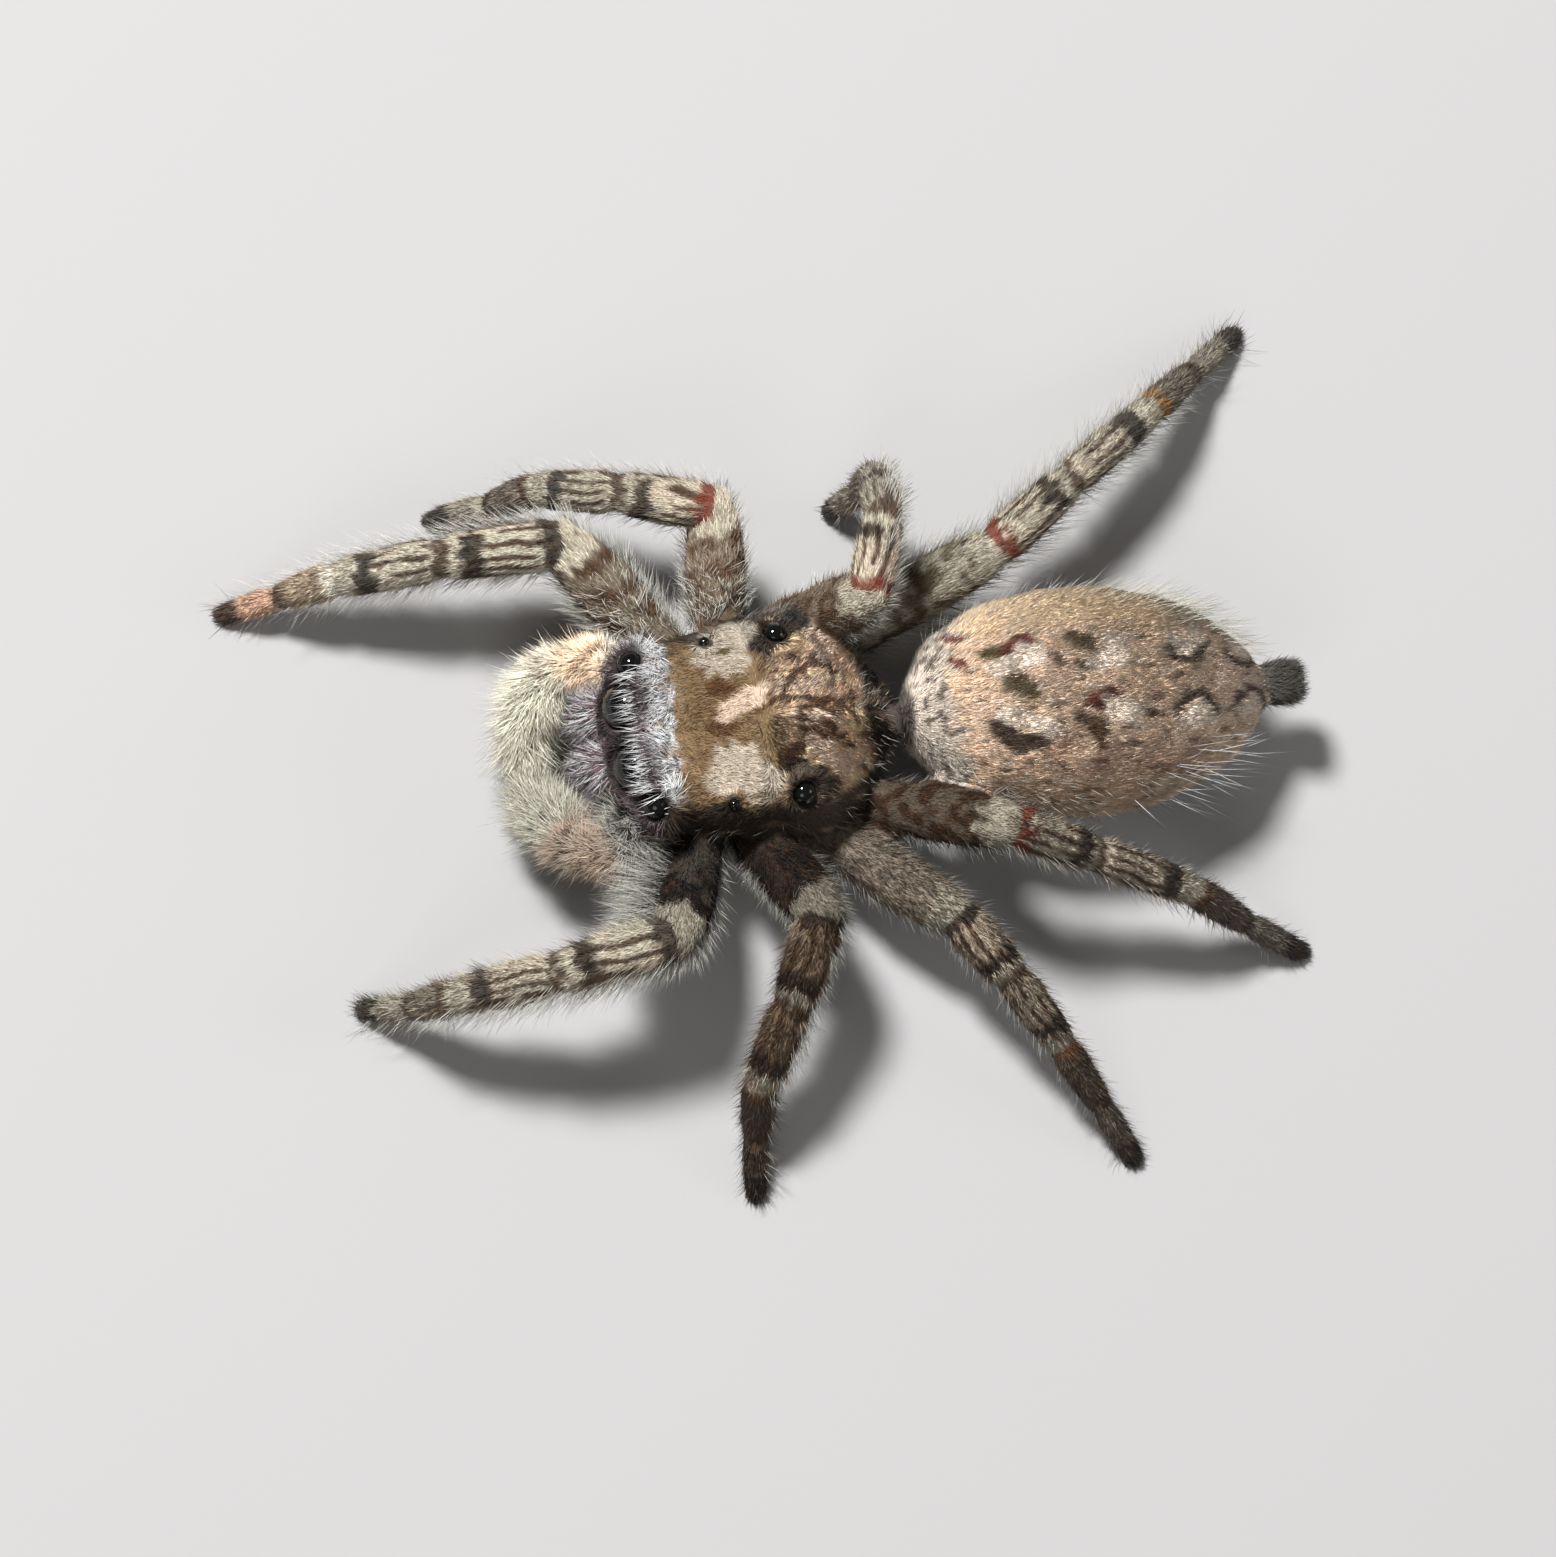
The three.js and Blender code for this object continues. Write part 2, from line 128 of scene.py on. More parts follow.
class SpiderColours(bpy.types.PropertyGroup):
    """The colours of the coat."""

    white: colour_property("Brow white", "Cool white of the brow and face", (208, 208, 208))
    chalk: colour_property("Chalk", "Palest spots of the abdomen", (242, 228, 212))
    cream: colour_property("Cream", "Pale patches and bands", (190, 178, 161))
    bone: colour_property("Bone", "Pale stretches of the legs", (196, 188, 168))
    pink: colour_property("Pink cream", "Warm pale spots and streaks", (224, 200, 178))
    straw: colour_property("Straw", "Brushes of the feelers", (224, 220, 202))
    gold: colour_property("Gold", "Warm right edge of the abdomen", (255, 228, 188))
    tan: colour_property("Tan", "Ground colour of the body", (245, 214, 184))
    ochre: colour_property("Ochre", "Top of the head", (132, 108, 78))
    olive: colour_property("Olive", "Shaded edges of the spots", (86, 72, 34))
    umber: colour_property("Umber", "Thin dark bows round the pale spots", (58, 40, 28))
    brown: colour_property("Brown", "Darker mottling", (92, 62, 38))
    rust: colour_property("Rust", "Red-brown joint rings", (116, 48, 34))
    amber: colour_property("Amber", "Warm ends of some legs", (222, 176, 146))
    honey: colour_property("Honey", "Golden spot near the end of one rear leg", (160, 112, 50))
    soot: colour_property("Soot", "Darkest bands and flanks", (32, 24, 19))
    grey: colour_property("Grey", "Fringes and shaded hair", (200, 197, 188))
    mauve: colour_property("Mauve", "Bare skin of the face", (120, 98, 106))


class SpiderStage(bpy.types.PropertyGroup):
    """Camera and what it sees."""

    azimuth: angle_property("Azimuth", "The camera's way round the spider", 39.68)
    elevation: angle_property("Elevation", "The camera's height angle", 74.56)
    roll: angle_property("Roll", "The camera's turn about its own line of sight", -44.78)
    distance: length_property("Distance", "Camera to spider", 250)
    field: length_property("Field", "Width of what the camera sees", 23.95)
    aim: FloatVectorProperty(name="Aim", description="What the camera looks at", size=3,
                             subtype="TRANSLATION", unit="LENGTH",
                             default=(0.348 * MM, -0.234 * MM, 2.0 * MM))


# ---- The body, as the solids give it ----

def corners(node):
    """A solid's corners in millimetres, once each."""
    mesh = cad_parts[node].data
    found = np.empty(len(mesh.vertices) * 3, np.float32)
    mesh.vertices.foreach_get("co", found)
    return np.unique(np.round(found.reshape(-1, 3).astype(float) / MM, 3), axis=0)


def box_middle(node):
    low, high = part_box(node)
    return np.array((low + high) / 2) / MM


def unit(vectors):
    return vectors / np.maximum(np.linalg.norm(vectors, axis=-1, keepdims=True), 1e-9)


def meeting(inner, outer):
    """The corners of one solid of a leg that face the next solid across the cut between them."""
    a, b = corners(inner), corners(outer)
    facing = 0.08  # wider than the cut and narrower than a face
    gaps = np.linalg.norm(a[:, None] - b[None], axis=2)
    return a[gaps.min(axis=1) < facing]


class Limb:
    """A jointed line from root to tip: a radius at each joint, a top side on each stretch."""

    def __init__(self, joints, radii):
        self.joints = np.array(joints, float)
        self.radii = np.array(radii, float)
        self.ways = unit(np.diff(self.joints, axis=0))
        self.lengths = np.linalg.norm(np.diff(self.joints, axis=0), axis=1)
        ups, up = [], np.array((0.0, 0.0, 1.0))
        for way in self.ways:
            up = unit(up - way * (up @ way))
            ups.append(up)
        self.ups = np.array(ups)
        self.asides = np.cross(self.ways, self.ups)

    def place(self, points):
        """For each point: its stretch, share along it, foot on the line, angle from its top."""
        starts = self.joints[:-1]
        reach = points[:, None] - starts
        share = np.clip((reach * self.ways).sum(2) / self.lengths, 0, 1)
        feet = starts + share[..., None] * (self.ways * self.lengths[:, None])
        stretch = np.linalg.norm(points[:, None] - feet, axis=2).argmin(axis=1)
        rows = np.arange(len(points))
        foot = feet[rows, stretch]
        out = points - foot
        angle = np.arctan2((out * self.asides[stretch]).sum(1), (out * self.ups[stretch]).sum(1))
        return stretch, share[rows, stretch], foot, angle


# Radius of a leg's solids at its hip, its four joints and its tip, for each pair of legs, in
# millimetres, and the share of it that the skin keeps.
LEG_RADII = {
    1: (0.42, 0.44, 0.39, 0.34, 0.27, 0.24), 2: (0.4, 0.42, 0.38, 0.33, 0.27, 0.24),
    3: (0.4, 0.4, 0.35, 0.3, 0.26, 0.24), 4: (0.4, 0.4, 0.35, 0.31, 0.26, 0.24),
}
LEG_SLIMNESS = np.array((1, 1, 1, 1, 0.92, 0.84))
FEMUR_LENGTH = 2.3
FEMUR_SWELL = 0.07  # how much wider a femur is in its middle
STRAIGHT, BENT = 25, 50  # degrees of bend from which a joint starts to count, and counts in full


def round_joint(ring, before, after, radius):
    """The middle of a round joint, whose cut reaches further on the inside of the bend."""
    middle = ring.mean(axis=0)
    outward = unit(before - after)
    shift = ((ring - middle) @ outward).max() - radius
    bend = np.degrees(np.arccos(np.clip(before @ after, -1, 1)))
    return middle + outward * shift * smooth(bend, STRAIGHT, BENT)


def leg_limb(side, pair):
    """A leg's line. The femur's way mirrors the patella's in the cut between them."""
    nodes = [f"{part}_{side}_{pair}" for part in SEGMENTS]
    radii = np.array(LEG_RADII[pair])
    rings = [meeting(a, b) for a, b in zip(nodes, nodes[1:])]
    joints = [ring.mean(axis=0) for ring in rings]
    cut = np.linalg.svd(rings[0] - joints[0])[2][2]
    foot = corners(nodes[-1])
    rounds = 3  # each round places the joints by the ways that the last one found
    for _ in range(rounds):
        ways = [unit(b - a) for a, b in zip(joints, joints[1:])]
        femur_way = 2 * (cut @ ways[0]) * cut - ways[0]
        foot_way = unit(foot.mean(axis=0) - joints[-1])
        ways = [femur_way, *ways, foot_way]
        joints = [round_joint(*cut_joint) for cut_joint in zip(rings, ways, ways[1:], radii[1:])]
    hip = joints[0] - femur_way * FEMUR_LENGTH
    tip = joints[-1] + foot_way * (((foot - joints[-1]) @ foot_way).max() - radii[-1])
    depth = bpy.context.scene.spider_skin.coat_depth / MM
    return Limb([hip, *joints, tip], (radii - depth) * LEG_SLIMNESS)


# Joints of each feeler, from the middle of the carapace's box, and the skin's radius at each.
PALP_JOINTS = {
    "left": [(1.02, -1.89, -0.69), (1.82, -2.19, -0.29), (1.7, -2.79, -0.54),
             (1.14, -3.21, -0.89), (0.6, -3.39, -1.24)],
    "right": [(-0.94, -1.89, -0.69), (-1.18, -2.31, -0.27), (-1.13, -2.89, -0.59),
              (-0.62, -3.31, -0.94), (0.12, -3.41, -1.31)],
}
PALP_RADII = (0.2, 0.21, 0.22, 0.25, 0.16)


def curve_through(stops):
    """A smooth line through stops."""
    steps = 4  # points for each stretch
    stops = np.array(stops, float)
    slopes = np.gradient(stops, axis=0)
    found = []
    for a, b, u, v in zip(stops, stops[1:], slopes, slopes[1:]):
        for t in np.arange(steps) / steps:
            found.append(a * (2 * t**3 - 3 * t**2 + 1) + u * (t**3 - 2 * t**2 + t)
                         + b * (3 * t**2 - 2 * t**3) + v * (t**3 - t**2))
    return np.array([*found, stops[-1]])


def palp_limb(side):
    joints = box_middle("carapace") + np.array(PALP_JOINTS[side])
    line = curve_through(np.column_stack([joints, PALP_RADII]))
    return Limb(line[:, :3], line[:, 3])


EYE_FIELD_REAR = (0.025, 0.397, 0.655)  # its middle, from the middle of the carapace's box


class Head:
    """Side, forward and up distances on the carapace, in millimetres from its eye field's rear."""

    def __init__(self):
        rear = [box_middle(f"eye_rear_{side}") for side in SIDES]
        self.origin = box_middle("carapace") + EYE_FIELD_REAR
        self.side = unit(rear[0] - rear[1])
        self.forward = unit(np.cross(self.side, (0, 0, 1)))
        self.up = np.cross(self.forward, self.side)

    def place(self, points):
        reach = points - self.origin
        return reach @ self.side, reach @ self.forward, reach @ self.up


class Anatomy:
    """Everything that skin, coat and markings need to know about where the spider's parts are."""

    def __init__(self):
        self.legs = {(side, pair): leg_limb(side, pair) for side in SIDES for pair in PAIRS}
        self.palps = {side: palp_limb(side) for side in SIDES}
        self.limbs = [*self.legs.values(), *self.palps.values()]
        self.head = Head()
        low, high = (np.array(c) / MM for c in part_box("abdomen"))
        self.abdomen_low, self.abdomen_high = low, high
        self.eyes = [(kind, *eye_place(f"eye_{kind}_{side}"))
                     for kind in EYE_KINDS for side in SIDES]
        self.surface, self.face_nodes = solid_surface(FLESH)

    def parts(self, points):
        """The part number and the limb number of the solid nearest to each point."""
        nearest = [self.face_nodes[self.surface.find_nearest(Vector(p))[2]] for p in points]
        part = np.array([part_number(n) for n in FLESH])
        limb = np.array([limb_number(n) for n in FLESH])
        nearest = np.array(nearest)
        return part[nearest], limb[nearest]

    def middle(self, points):
        """Side of the abdomen's middle, and back from its front, for each point."""
        low, high = self.abdomen_low, self.abdomen_high
        return points[:, 0] - (low[0] + high[0]) / 2, points[:, 1] - low[1]


def eye_place(node):
    """An eye's middle and radius in millimetres."""
    low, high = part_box(node)
    return box_middle(node), (high.x - low.x) / 2 / MM


def part_number(node):
    first = node.split("_")[0]
    return PART_OF.get(first, LEG)


def limb_number(node):
    """A node's place in the list of limbs, which has the legs and then the feelers, or -1."""
    first, *words = node.split("_")
    if first == "palp":
        return len(SIDES) * len(PAIRS) + list(SIDES).index(words[0])
    if len(words) == 2:
        return len(PAIRS) * list(SIDES).index(words[0]) + PAIRS.index(int(words[1]))
    return -1


def solid_surface(nodes):
    """A search tree of these solids' faces in millimetres, and the node number of each face."""
    points, faces, numbers = [], [], []
    for number, node in enumerate(nodes):
        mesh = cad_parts[node].data
        start = len(points)
        points += [v.co / MM for v in mesh.vertices]
        for polygon in mesh.polygons:
            faces.append([start + v for v in polygon.vertices])
            numbers.append(number)
    return BVHTree.FromPolygons(points, faces), numbers


# ---- Markings ----

def smooth(values, low, high):
    """0 below low, 1 above high, and a soft step between them."""
    t = np.clip((values - low) / (high - low), 0, 1)
    return t * t * (3 - 2 * t)


def lay(base, colour, amount):
    """Base colours with another colour laid over them."""
    share = np.clip(amount, 0, 1)[:, None]
    return base * (1 - share) + np.array(colour) * share


def oval(x, y, middle, half, edge):
    """1 inside an oval and 0 outside, soft over a share of its size."""
    away = np.hypot((x - middle[0]) / half[0], (y - middle[1]) / half[1])
    return 1 - smooth(away, 1 - edge, 1 + edge)


def stroke(x, y, stops, half, edge=0.35):
    """1 near a line through stops and 0 beyond half, soft over a share of that width."""
    away = np.full(len(x), np.inf)
    for a, b in zip(stops, stops[1:] or stops):
        way = np.subtract(b, a)
        share = np.clip(((x - a[0]) * way[0] + (y - a[1]) * way[1]) / max(way @ way, 1e-9), 0, 1)
        away = np.minimum(away, np.hypot(x - a[0] - share * way[0], y - a[1] - share * way[1]))
    return 1 - smooth(away / half, 1 - edge, 1 + edge)


def mottle(points, size, seed):
    """Soft irregular noise, about -2 to 2, whose blotches are about size millimetres across."""
    waves = 28
    rng = np.random.default_rng(seed)
    turns = unit(rng.normal(size=(waves, 3))) * (math.pi / size) * rng.uniform(0.6, 1.4, (waves, 1))
    phases = rng.uniform(0, 2 * math.pi, waves)
    return np.cos(points @ turns.T + phases).sum(axis=1) * math.sqrt(2 / waves)


# Marks on the carapace, bottom one first: colour, stops as side and forward, half width.
HEAD_MARKS = [
    ("brown", [(0.11, 1.12), (0.11, 0.95)], 0.15),
    ("brown", [(-0.51, 1.15), (-0.5, 0.9)], 0.12),
    ("cream", [(-0.9, 1.0), (-0.88, 0.7)], 0.2),
    ("cream", [(-1.12, 1.05), (-1.36, 0.48)], 0.27),
    ("olive", [(-1.06, 0.9), (-1.1, 0.72)], 0.05),
    ("cream", [(0.55, 1.12), (0.66, 0.74)], 0.2),
    ("cream", [(0.88, 1.22), (1.04, 0.5)], 0.24),
    ("pink", [(-0.1, 1.0), (-0.24, 0.72), (-0.3, 0.45)], 0.15),
    ("pink", [(-0.93, -0.74), (-1.31, -0.66)], 0.22),
    ("pink", [(0.5, -0.24), (0.85, -0.58)], 0.17),
    ("pink", [(0.9, -0.7), (0.74, -1.0)], 0.15),
    ("pink", [(-0.38, 0.1), (-0.4, -0.6)], 0.1),
    ("pink", [(0.12, -0.05), (0.16, -0.8)], 0.12),
    ("soot", [(-1.1, 0.26), (-1.24, -0.04), (-1.5, -0.5)], 0.17),
    ("soot", [(0.84, 0.12), (1.04, -0.14), (1.2, -0.42)], 0.2),
    ("brown", [(-0.08, 0.5), (-0.2, 0.2), (-0.18, -0.05), (-0.1, -0.62)], 0.06),
    ("rust", [(-0.6, 0.18), (-0.56, -0.1), (-0.62, -0.42)], 0.06),
    ("brown", [(0.28, -0.06), (0.36, -0.4), (0.44, -0.82)], 0.065),
    ("brown", [(0.02, -0.1), (-0.02, -0.45), (0.08, -0.9)], 0.045),
    ("brown", [(-0.84, -0.1), (-0.8, -0.4), (-0.6, -0.8)], 0.06),
    ("brown", [(0.62, 0.2), (0.6, -0.02)], 0.08),
    ("brown", [(-0.2, 0.15), (-0.58, -0.15), (-0.72, -0.61), (-0.5, -0.95), (-0.13, -1.1)], 0.05),
    ("brown", [(-0.15, -0.15), (-0.12, -0.77), (0.1, -1.2)], 0.045),
    ("brown", [(0.1, -0.08), (0.25, -0.53), (0.55, -0.95)], 0.05),
    ("soot", [(-1.5, -0.45), (-1.38, -0.85), (-1.05, -1.25)], 0.1),
]
# How high the skin stands round each eye above its middle, in radii of the eye.
RIM_HEIGHT = {"main": 0.36, "front_side": 0.45, "small": 0.4, "rear": 0.42}
# How far the black round each eye reaches, in radii of the eye.
EYE_PATCHES = {"main": 1.3, "front_side": 1.35, "small": 1.5, "rear": 1.4}
# Half width of the carapace's lighter top, as forward and side.
TOP_EDGE = ((-1.7, -1.2, -0.5, 0.4, 1.2, 2.0, 2.4), (0.4, 0.95, 1.3, 1.34, 1.24, 1.14, 1.12))


def carapace_colours(points, anatomy, colours):
    """The eye field, the streaked thorax, the dark flanks, the white brow and the mauve face."""
    side, forward, up = anatomy.head.place(points)
    field = smooth(forward, -0.1, 0.35)
    thorax = 1 - field
    grain = np.column_stack([side, 0.35 * forward, 0.5 * up])  # streaks run forward and up
    base = lay(np.tile(colours.tan, (len(points), 1)), colours.ochre, 0.1 + 0.9 * field)
    base = lay(base, colours.honey, 0.3 * thorax)
    streaks = smooth(mottle(grain, 0.15, 11), 0.5, 0.95)
    base = lay(base, colours.brown, 0.72 * streaks * (1 - 0.75 * field))
    base = lay(base, colours.gold, 0.85 * smooth(mottle(grain, 0.2, 12), 0.3, 0.9) * thorax)
    base = lay(base, colours.brown, 0.4 * smooth(mottle(points, 0.1, 16), 0.7, 1.5) * field)

    edge = np.interp(forward, *TOP_EDGE) + 0.03 * mottle(points, 0.2, 17)
    flank = np.maximum(smooth(np.abs(side) - edge, -0.04, 0.12), smooth(-forward, 1.25, 1.5))
    paler = 0.5 * smooth(mottle(grain, 0.16, 14), 0.7, 1.5)
    base = lay(base, colours.soot, 0.9 * flank * (1 - paler))

    ragged = 0.035 * mottle(points, 0.14, 13)
    for name, stops, half in HEAD_MARKS:
        mark = stroke(side + ragged, forward + ragged, stops, half, 0.25)
        base = lay(base, getattr(colours, name), 0.92 * mark)
    base = base * (1 + 0.22 * thorax * (1 - flank))[:, None]

    brow = smooth(forward + ragged - 0.1 * side, 1.8, 1.92) * smooth(up, -0.6, -0.3)
    brow = brow * smooth(1.42 - 0.12 * side - np.abs(side), 0, 0.2)
    thinner = 0.5 * smooth(mottle(points, 0.2, 15), 0.4, 1.2)
    base = lay(base, colours.white, brow * (1 - thinner))
    face = smooth(forward, 2.2, 2.36)
    base = lay(base, colours.mauve, 0.9 * face)
    base = lay(base, colours.white, 0.85 * face * smooth(-up, 0.75, 1.0))
    for kind, middle, radius in anatomy.eyes:
        away = np.linalg.norm(points - middle, axis=1) / radius
        reach = EYE_PATCHES[kind]
        base = lay(base, colours.soot, 0.9 * (1 - smooth(away, reach, reach + 0.35)))
    return base


# Marks on the abdomen, bottom one first: colour, stops as side of the middle and back from the
# front, half width.
ABDOMEN_MARKS = [
    ("rust", [(-1.0, 1.06), (-0.94, 1.2)], 0.08),
    ("rust", [(-0.6, 1.02), (-0.56, 1.16)], 0.06),
    ("olive", [(-0.64, 1.52), (-0.7, 1.84)], 0.11),
    ("rust", [(-0.7, 1.8), (-0.82, 2.16)], 0.1),
    ("chalk", [(-0.38, 1.64), (-0.6, 2.26)], 0.16),
    ("umber", [(0.47, 1.52), (0.76, 1.84), (0.76, 2.2)], 0.14),
    ("chalk", [(0.28, 1.6), (0.42, 1.94), (0.62, 2.36)], 0.13),
    ("olive", [(-0.14, 1.86), (0.0, 2.06)], 0.17),
    ("olive", [(-0.8, 2.84), (-0.7, 3.1)], 0.12),
    ("olive", [(-0.3, 3.0), (-0.34, 3.2)], 0.09),
    ("chalk", [(-0.36, 3.2), (-0.5, 3.54), (-0.72, 3.5)], 0.17),
    ("rust", [(0.28, 2.92), (0.14, 3.42)], 0.07),
    ("brown", [(0.46, 2.8), (0.64, 3.2)], 0.1),
    ("brown", [(0.62, 3.0), (0.9, 3.14)], 0.08),
    ("brown", [(0.4, 3.76), (0.48, 3.94)], 0.1),
    ("chalk", [(0.36, 3.34), (0.46, 3.7)], 0.15),
    ("chalk", [(-0.64, 4.54), (-0.68, 4.8)], 0.2),
    ("chalk", [(0.52, 4.6), (0.5, 4.88)], 0.17),
    ("chalk", [(-0.6, 5.56), (-0.58, 5.8)], 0.15),
    ("chalk", [(0.38, 5.64), (0.35, 5.84)], 0.14),
]
# Dark bows between the rear spots and the midline: middle, radius and half width.
BOWS = [((-0.65, 4.68), 0.31, 0.065), ((0.52, 4.74), 0.32, 0.08),
        ((-0.58, 5.67), 0.27, 0.06), ((0.37, 5.74), 0.28, 0.07)]
# Red-brown bars down the abdomen's left side: side of the middle and back from the front.
SIDE_BARS = ((0.82, 2.54), (1.03, 3.2), (0.98, 3.94), (1.05, 4.6))


def pale_spots(points, anatomy):
    """How far each point lies in one of the abdomen's raised pale spots."""
    side, back = anatomy.middle(points)
    spots = [stroke(side, back, stops, 0.7 * half, 0.5)
             for name, stops, half in ABDOMEN_MARKS if name == "chalk"]
    waist_height = (anatomy.abdomen_low[2] + anatomy.abdomen_high[2]) / 2
    return np.max(spots, axis=0) * (points[:, 2] > waist_height)


def abdomen_colours(points, anatomy, colours):
    """Tan with fine flecks, a pale band in front, a warmer right side and a browner left one that
    are partly painted light and shade, a rear with painted light, a front partly darkened by
    painted shade, and its spots and bows.
    """
    side, back = anatomy.middle(points)
    low, high = anatomy.abdomen_low[2], anatomy.abdomen_high[2]
    height = (points[:, 2] - low) / (high - low)
    lengthwise = points * (1, 0.45, 1)
    ragged = 0.03 * mottle(points, 0.16, 24)
    base = np.tile(colours.tan, (len(points), 1))
    base = lay(base, colours.pink, 0.45 * smooth(mottle(points, 0.5, 21), -0.4, 1.5))
    # Painted light: the rear is lightened because it faces away from the lamps.
    base = lay(base, colours.chalk, 0.35 * smooth(back, 4.2, 6.0))
    # The left side is browner: partly its own colour, partly painted shade on the side turned from
    # the lamps.
    base = lay(base, colours.brown, 0.3 * smooth(side, 0.8, 1.5))
    base = lay(base, colours.brown, 0.12 * smooth(mottle(lengthwise, 0.3, 22), 0.3, 1.5))
    base = lay(base, colours.brown, 0.7 * smooth(mottle(lengthwise, 0.085, 23), 1.0, 1.35))
    base = lay(base, colours.chalk, 0.5 * smooth(mottle(lengthwise, 0.1, 26), 0.8, 1.4))
    for across, along in SIDE_BARS:
        ends = [(across - 0.12, along + 0.2), (across + 0.2, along - 0.2)]
        base = lay(base, colours.rust, 0.35 * stroke(side + ragged, back, ends, 0.13, 0.8))
    # The upper right side is warmer and lighter: partly its own colour, partly painted light on the
    # side that faces the lamps.
    right = smooth(-side + ragged, 0.8, 1.2)
    base = lay(base, colours.gold, 0.75 * right * smooth(height, 0.3, 0.6))
    rear_right = smooth(-side + 2 * ragged, 0.72, 1.05) * smooth(back, 4.2, 4.8)
    rear_right = rear_right * (1 - smooth(back, 5.7, 6.0))
    base = lay(base, colours.cream, 0.75 * rear_right * smooth(height, 0.15, 0.35))

    band = 1 - smooth(back + 2 * ragged - 0.3 * (side / 1.2) ** 2, 0.84, 1.04)
    flecks = smooth(mottle(points, 0.1, 25), 0.6, 0.9) * smooth(back, 0.35, 0.6)
    base = lay(base, 0.72 * colours.chalk, band * smooth(height, 0.15, 0.35))
    base = lay(base, colours.umber, 0.75 * band * flecks)
    for name, stops, half in ABDOMEN_MARKS:
        mark = stroke(side + ragged, back + ragged, stops, half)
        base = lay(base, getattr(colours, name), 0.92 * mark)
    for middle, radius, half in BOWS:
        inward = (side - middle[0]) * -math.copysign(1, middle[0])
        ring = np.abs(np.hypot(side - middle[0], back - middle[1]) - radius) / half
        ring = ring + 0.35 * mottle(points, 0.1, 27)
        bow = 0.9 * (1 - smooth(ring, 0.6, 1.3))
        base = lay(base, colours.umber, bow * smooth(inward, -0.1, 0.1))
    under = 1 - smooth(height, 0.12, 0.4)
    base = lay(base, colours.brown, 0.5 * under)
    # The front face by the carapace is darkened: partly dark hairs, partly painted shade in the gap
    # between the two.
    return lay(base, colours.soot, 0.9 * (1 - smooth(back, 0.42, 0.5)))


# Bands along each stretch of a leg, hip to tip: shade, from and to as shares of the stretch, and
# how far round from its top line in degrees.
ALL_ROUND = 180
LEG_BANDS = {
    "femur": [("cream", 0.85, 1.0, ALL_ROUND)],
    "patella": [("knee", 0.0, 0.16, ALL_ROUND), ("blob", 0.66, 0.85, 72),
                ("cream", 0.87, 0.95, ALL_ROUND), ("ring", 0.95, 1.0, ALL_ROUND)],
    "tibia": [("ring", 0.0, 0.04, 120), ("blob", 0.6, 0.79, 76), ("cream", 0.82, 0.97, ALL_ROUND)],
    "metatarsus": [("joint", 0.0, 0.13, ALL_ROUND), ("ring", 0.84, 0.97, 110)],
    "tarsus": [("tip", 0.74, 1.0, ALL_ROUND)],
}
STRIPES = (-50, -17, 17, 50)  # dark lines along a leg, in degrees from its top line
LOW_STRIPES = (-86, 86)  # and the two stronger ones where its pale top ends
PLAIN_INSIDE = {("left", 1)}  # no dark lines on this leg's inner side
RUSTY_KNEES = {("right", 2), ("right", 3), ("right", 4), ("left", 4)}
JOINT_COLOURS = {("right", 1): "straw", ("right", 4): "honey"}  # brown on the others
# How dark each leg's first stretch, middle and foot are: partly the legs' own dark hair, partly
# painted shade, most on the left legs that lie in the body's shade.
SHADING = {
    ("left", 1): (1.0, 0.05, 0.35), ("left", 2): (0.95, 1.0, 1.0),
    ("left", 3): (0.35, 0.65, 0.95), ("left", 4): (0.7, 0.4, 0.95),
    ("right", 1): (0.5, 0.0, 0.0), ("right", 2): (0.35, 0.15, 0.35),
    ("right", 3): (0.45, 0.2, 0.4), ("right", 4): (0.4, 0.15, 0.6),
}
FEMUR, PATELLA, TIBIA, METATARSUS, TARSUS = range(len(SEGMENTS))


def femur_colours(points, key, colours):
    """What lies over a leg's first stretch."""
    shade = SHADING[key][0]
    if key == ("left", 3):
        paler = 1 - 0.5 * smooth(mottle(points, 0.1, 39), 0.2, 1)
        return (0.2 * colours.tan + 0.12 * colours.grey) * paler[:, None]
    if key == ("right", 4):
        blotches = smooth(mottle(points, 0.2, 40), 0.1, 0.5)
        pale = 0.62 * np.tile(colours.bone, (len(points), 1))
        return lay(pale, 0.5 * colours.olive + 0.5 * colours.soot, blotches)
    # Browner to sooty as the leg's first SHADING value grows, which is partly dark hair and partly
    # painted shade.
    return colours.brown * (1 - shade) + 0.5 * colours.soot * shade


def band_share(points, ragged, turned, band):
    """How far each point lies in one band of a leg."""
    start, end, round_to = band
    edge = 0.028
    found = smooth(ragged, start - edge, start + edge) if start > 0 else 1
    found = found * ((1 - smooth(ragged, end - edge, end + edge)) if end < 1 else 1)
    if round_to < ALL_ROUND:
        wavy = turned + 8 * mottle(points, 0.15, 38)
        found = found * (1 - smooth(wavy, round_to - 8, round_to + 8))
    return found


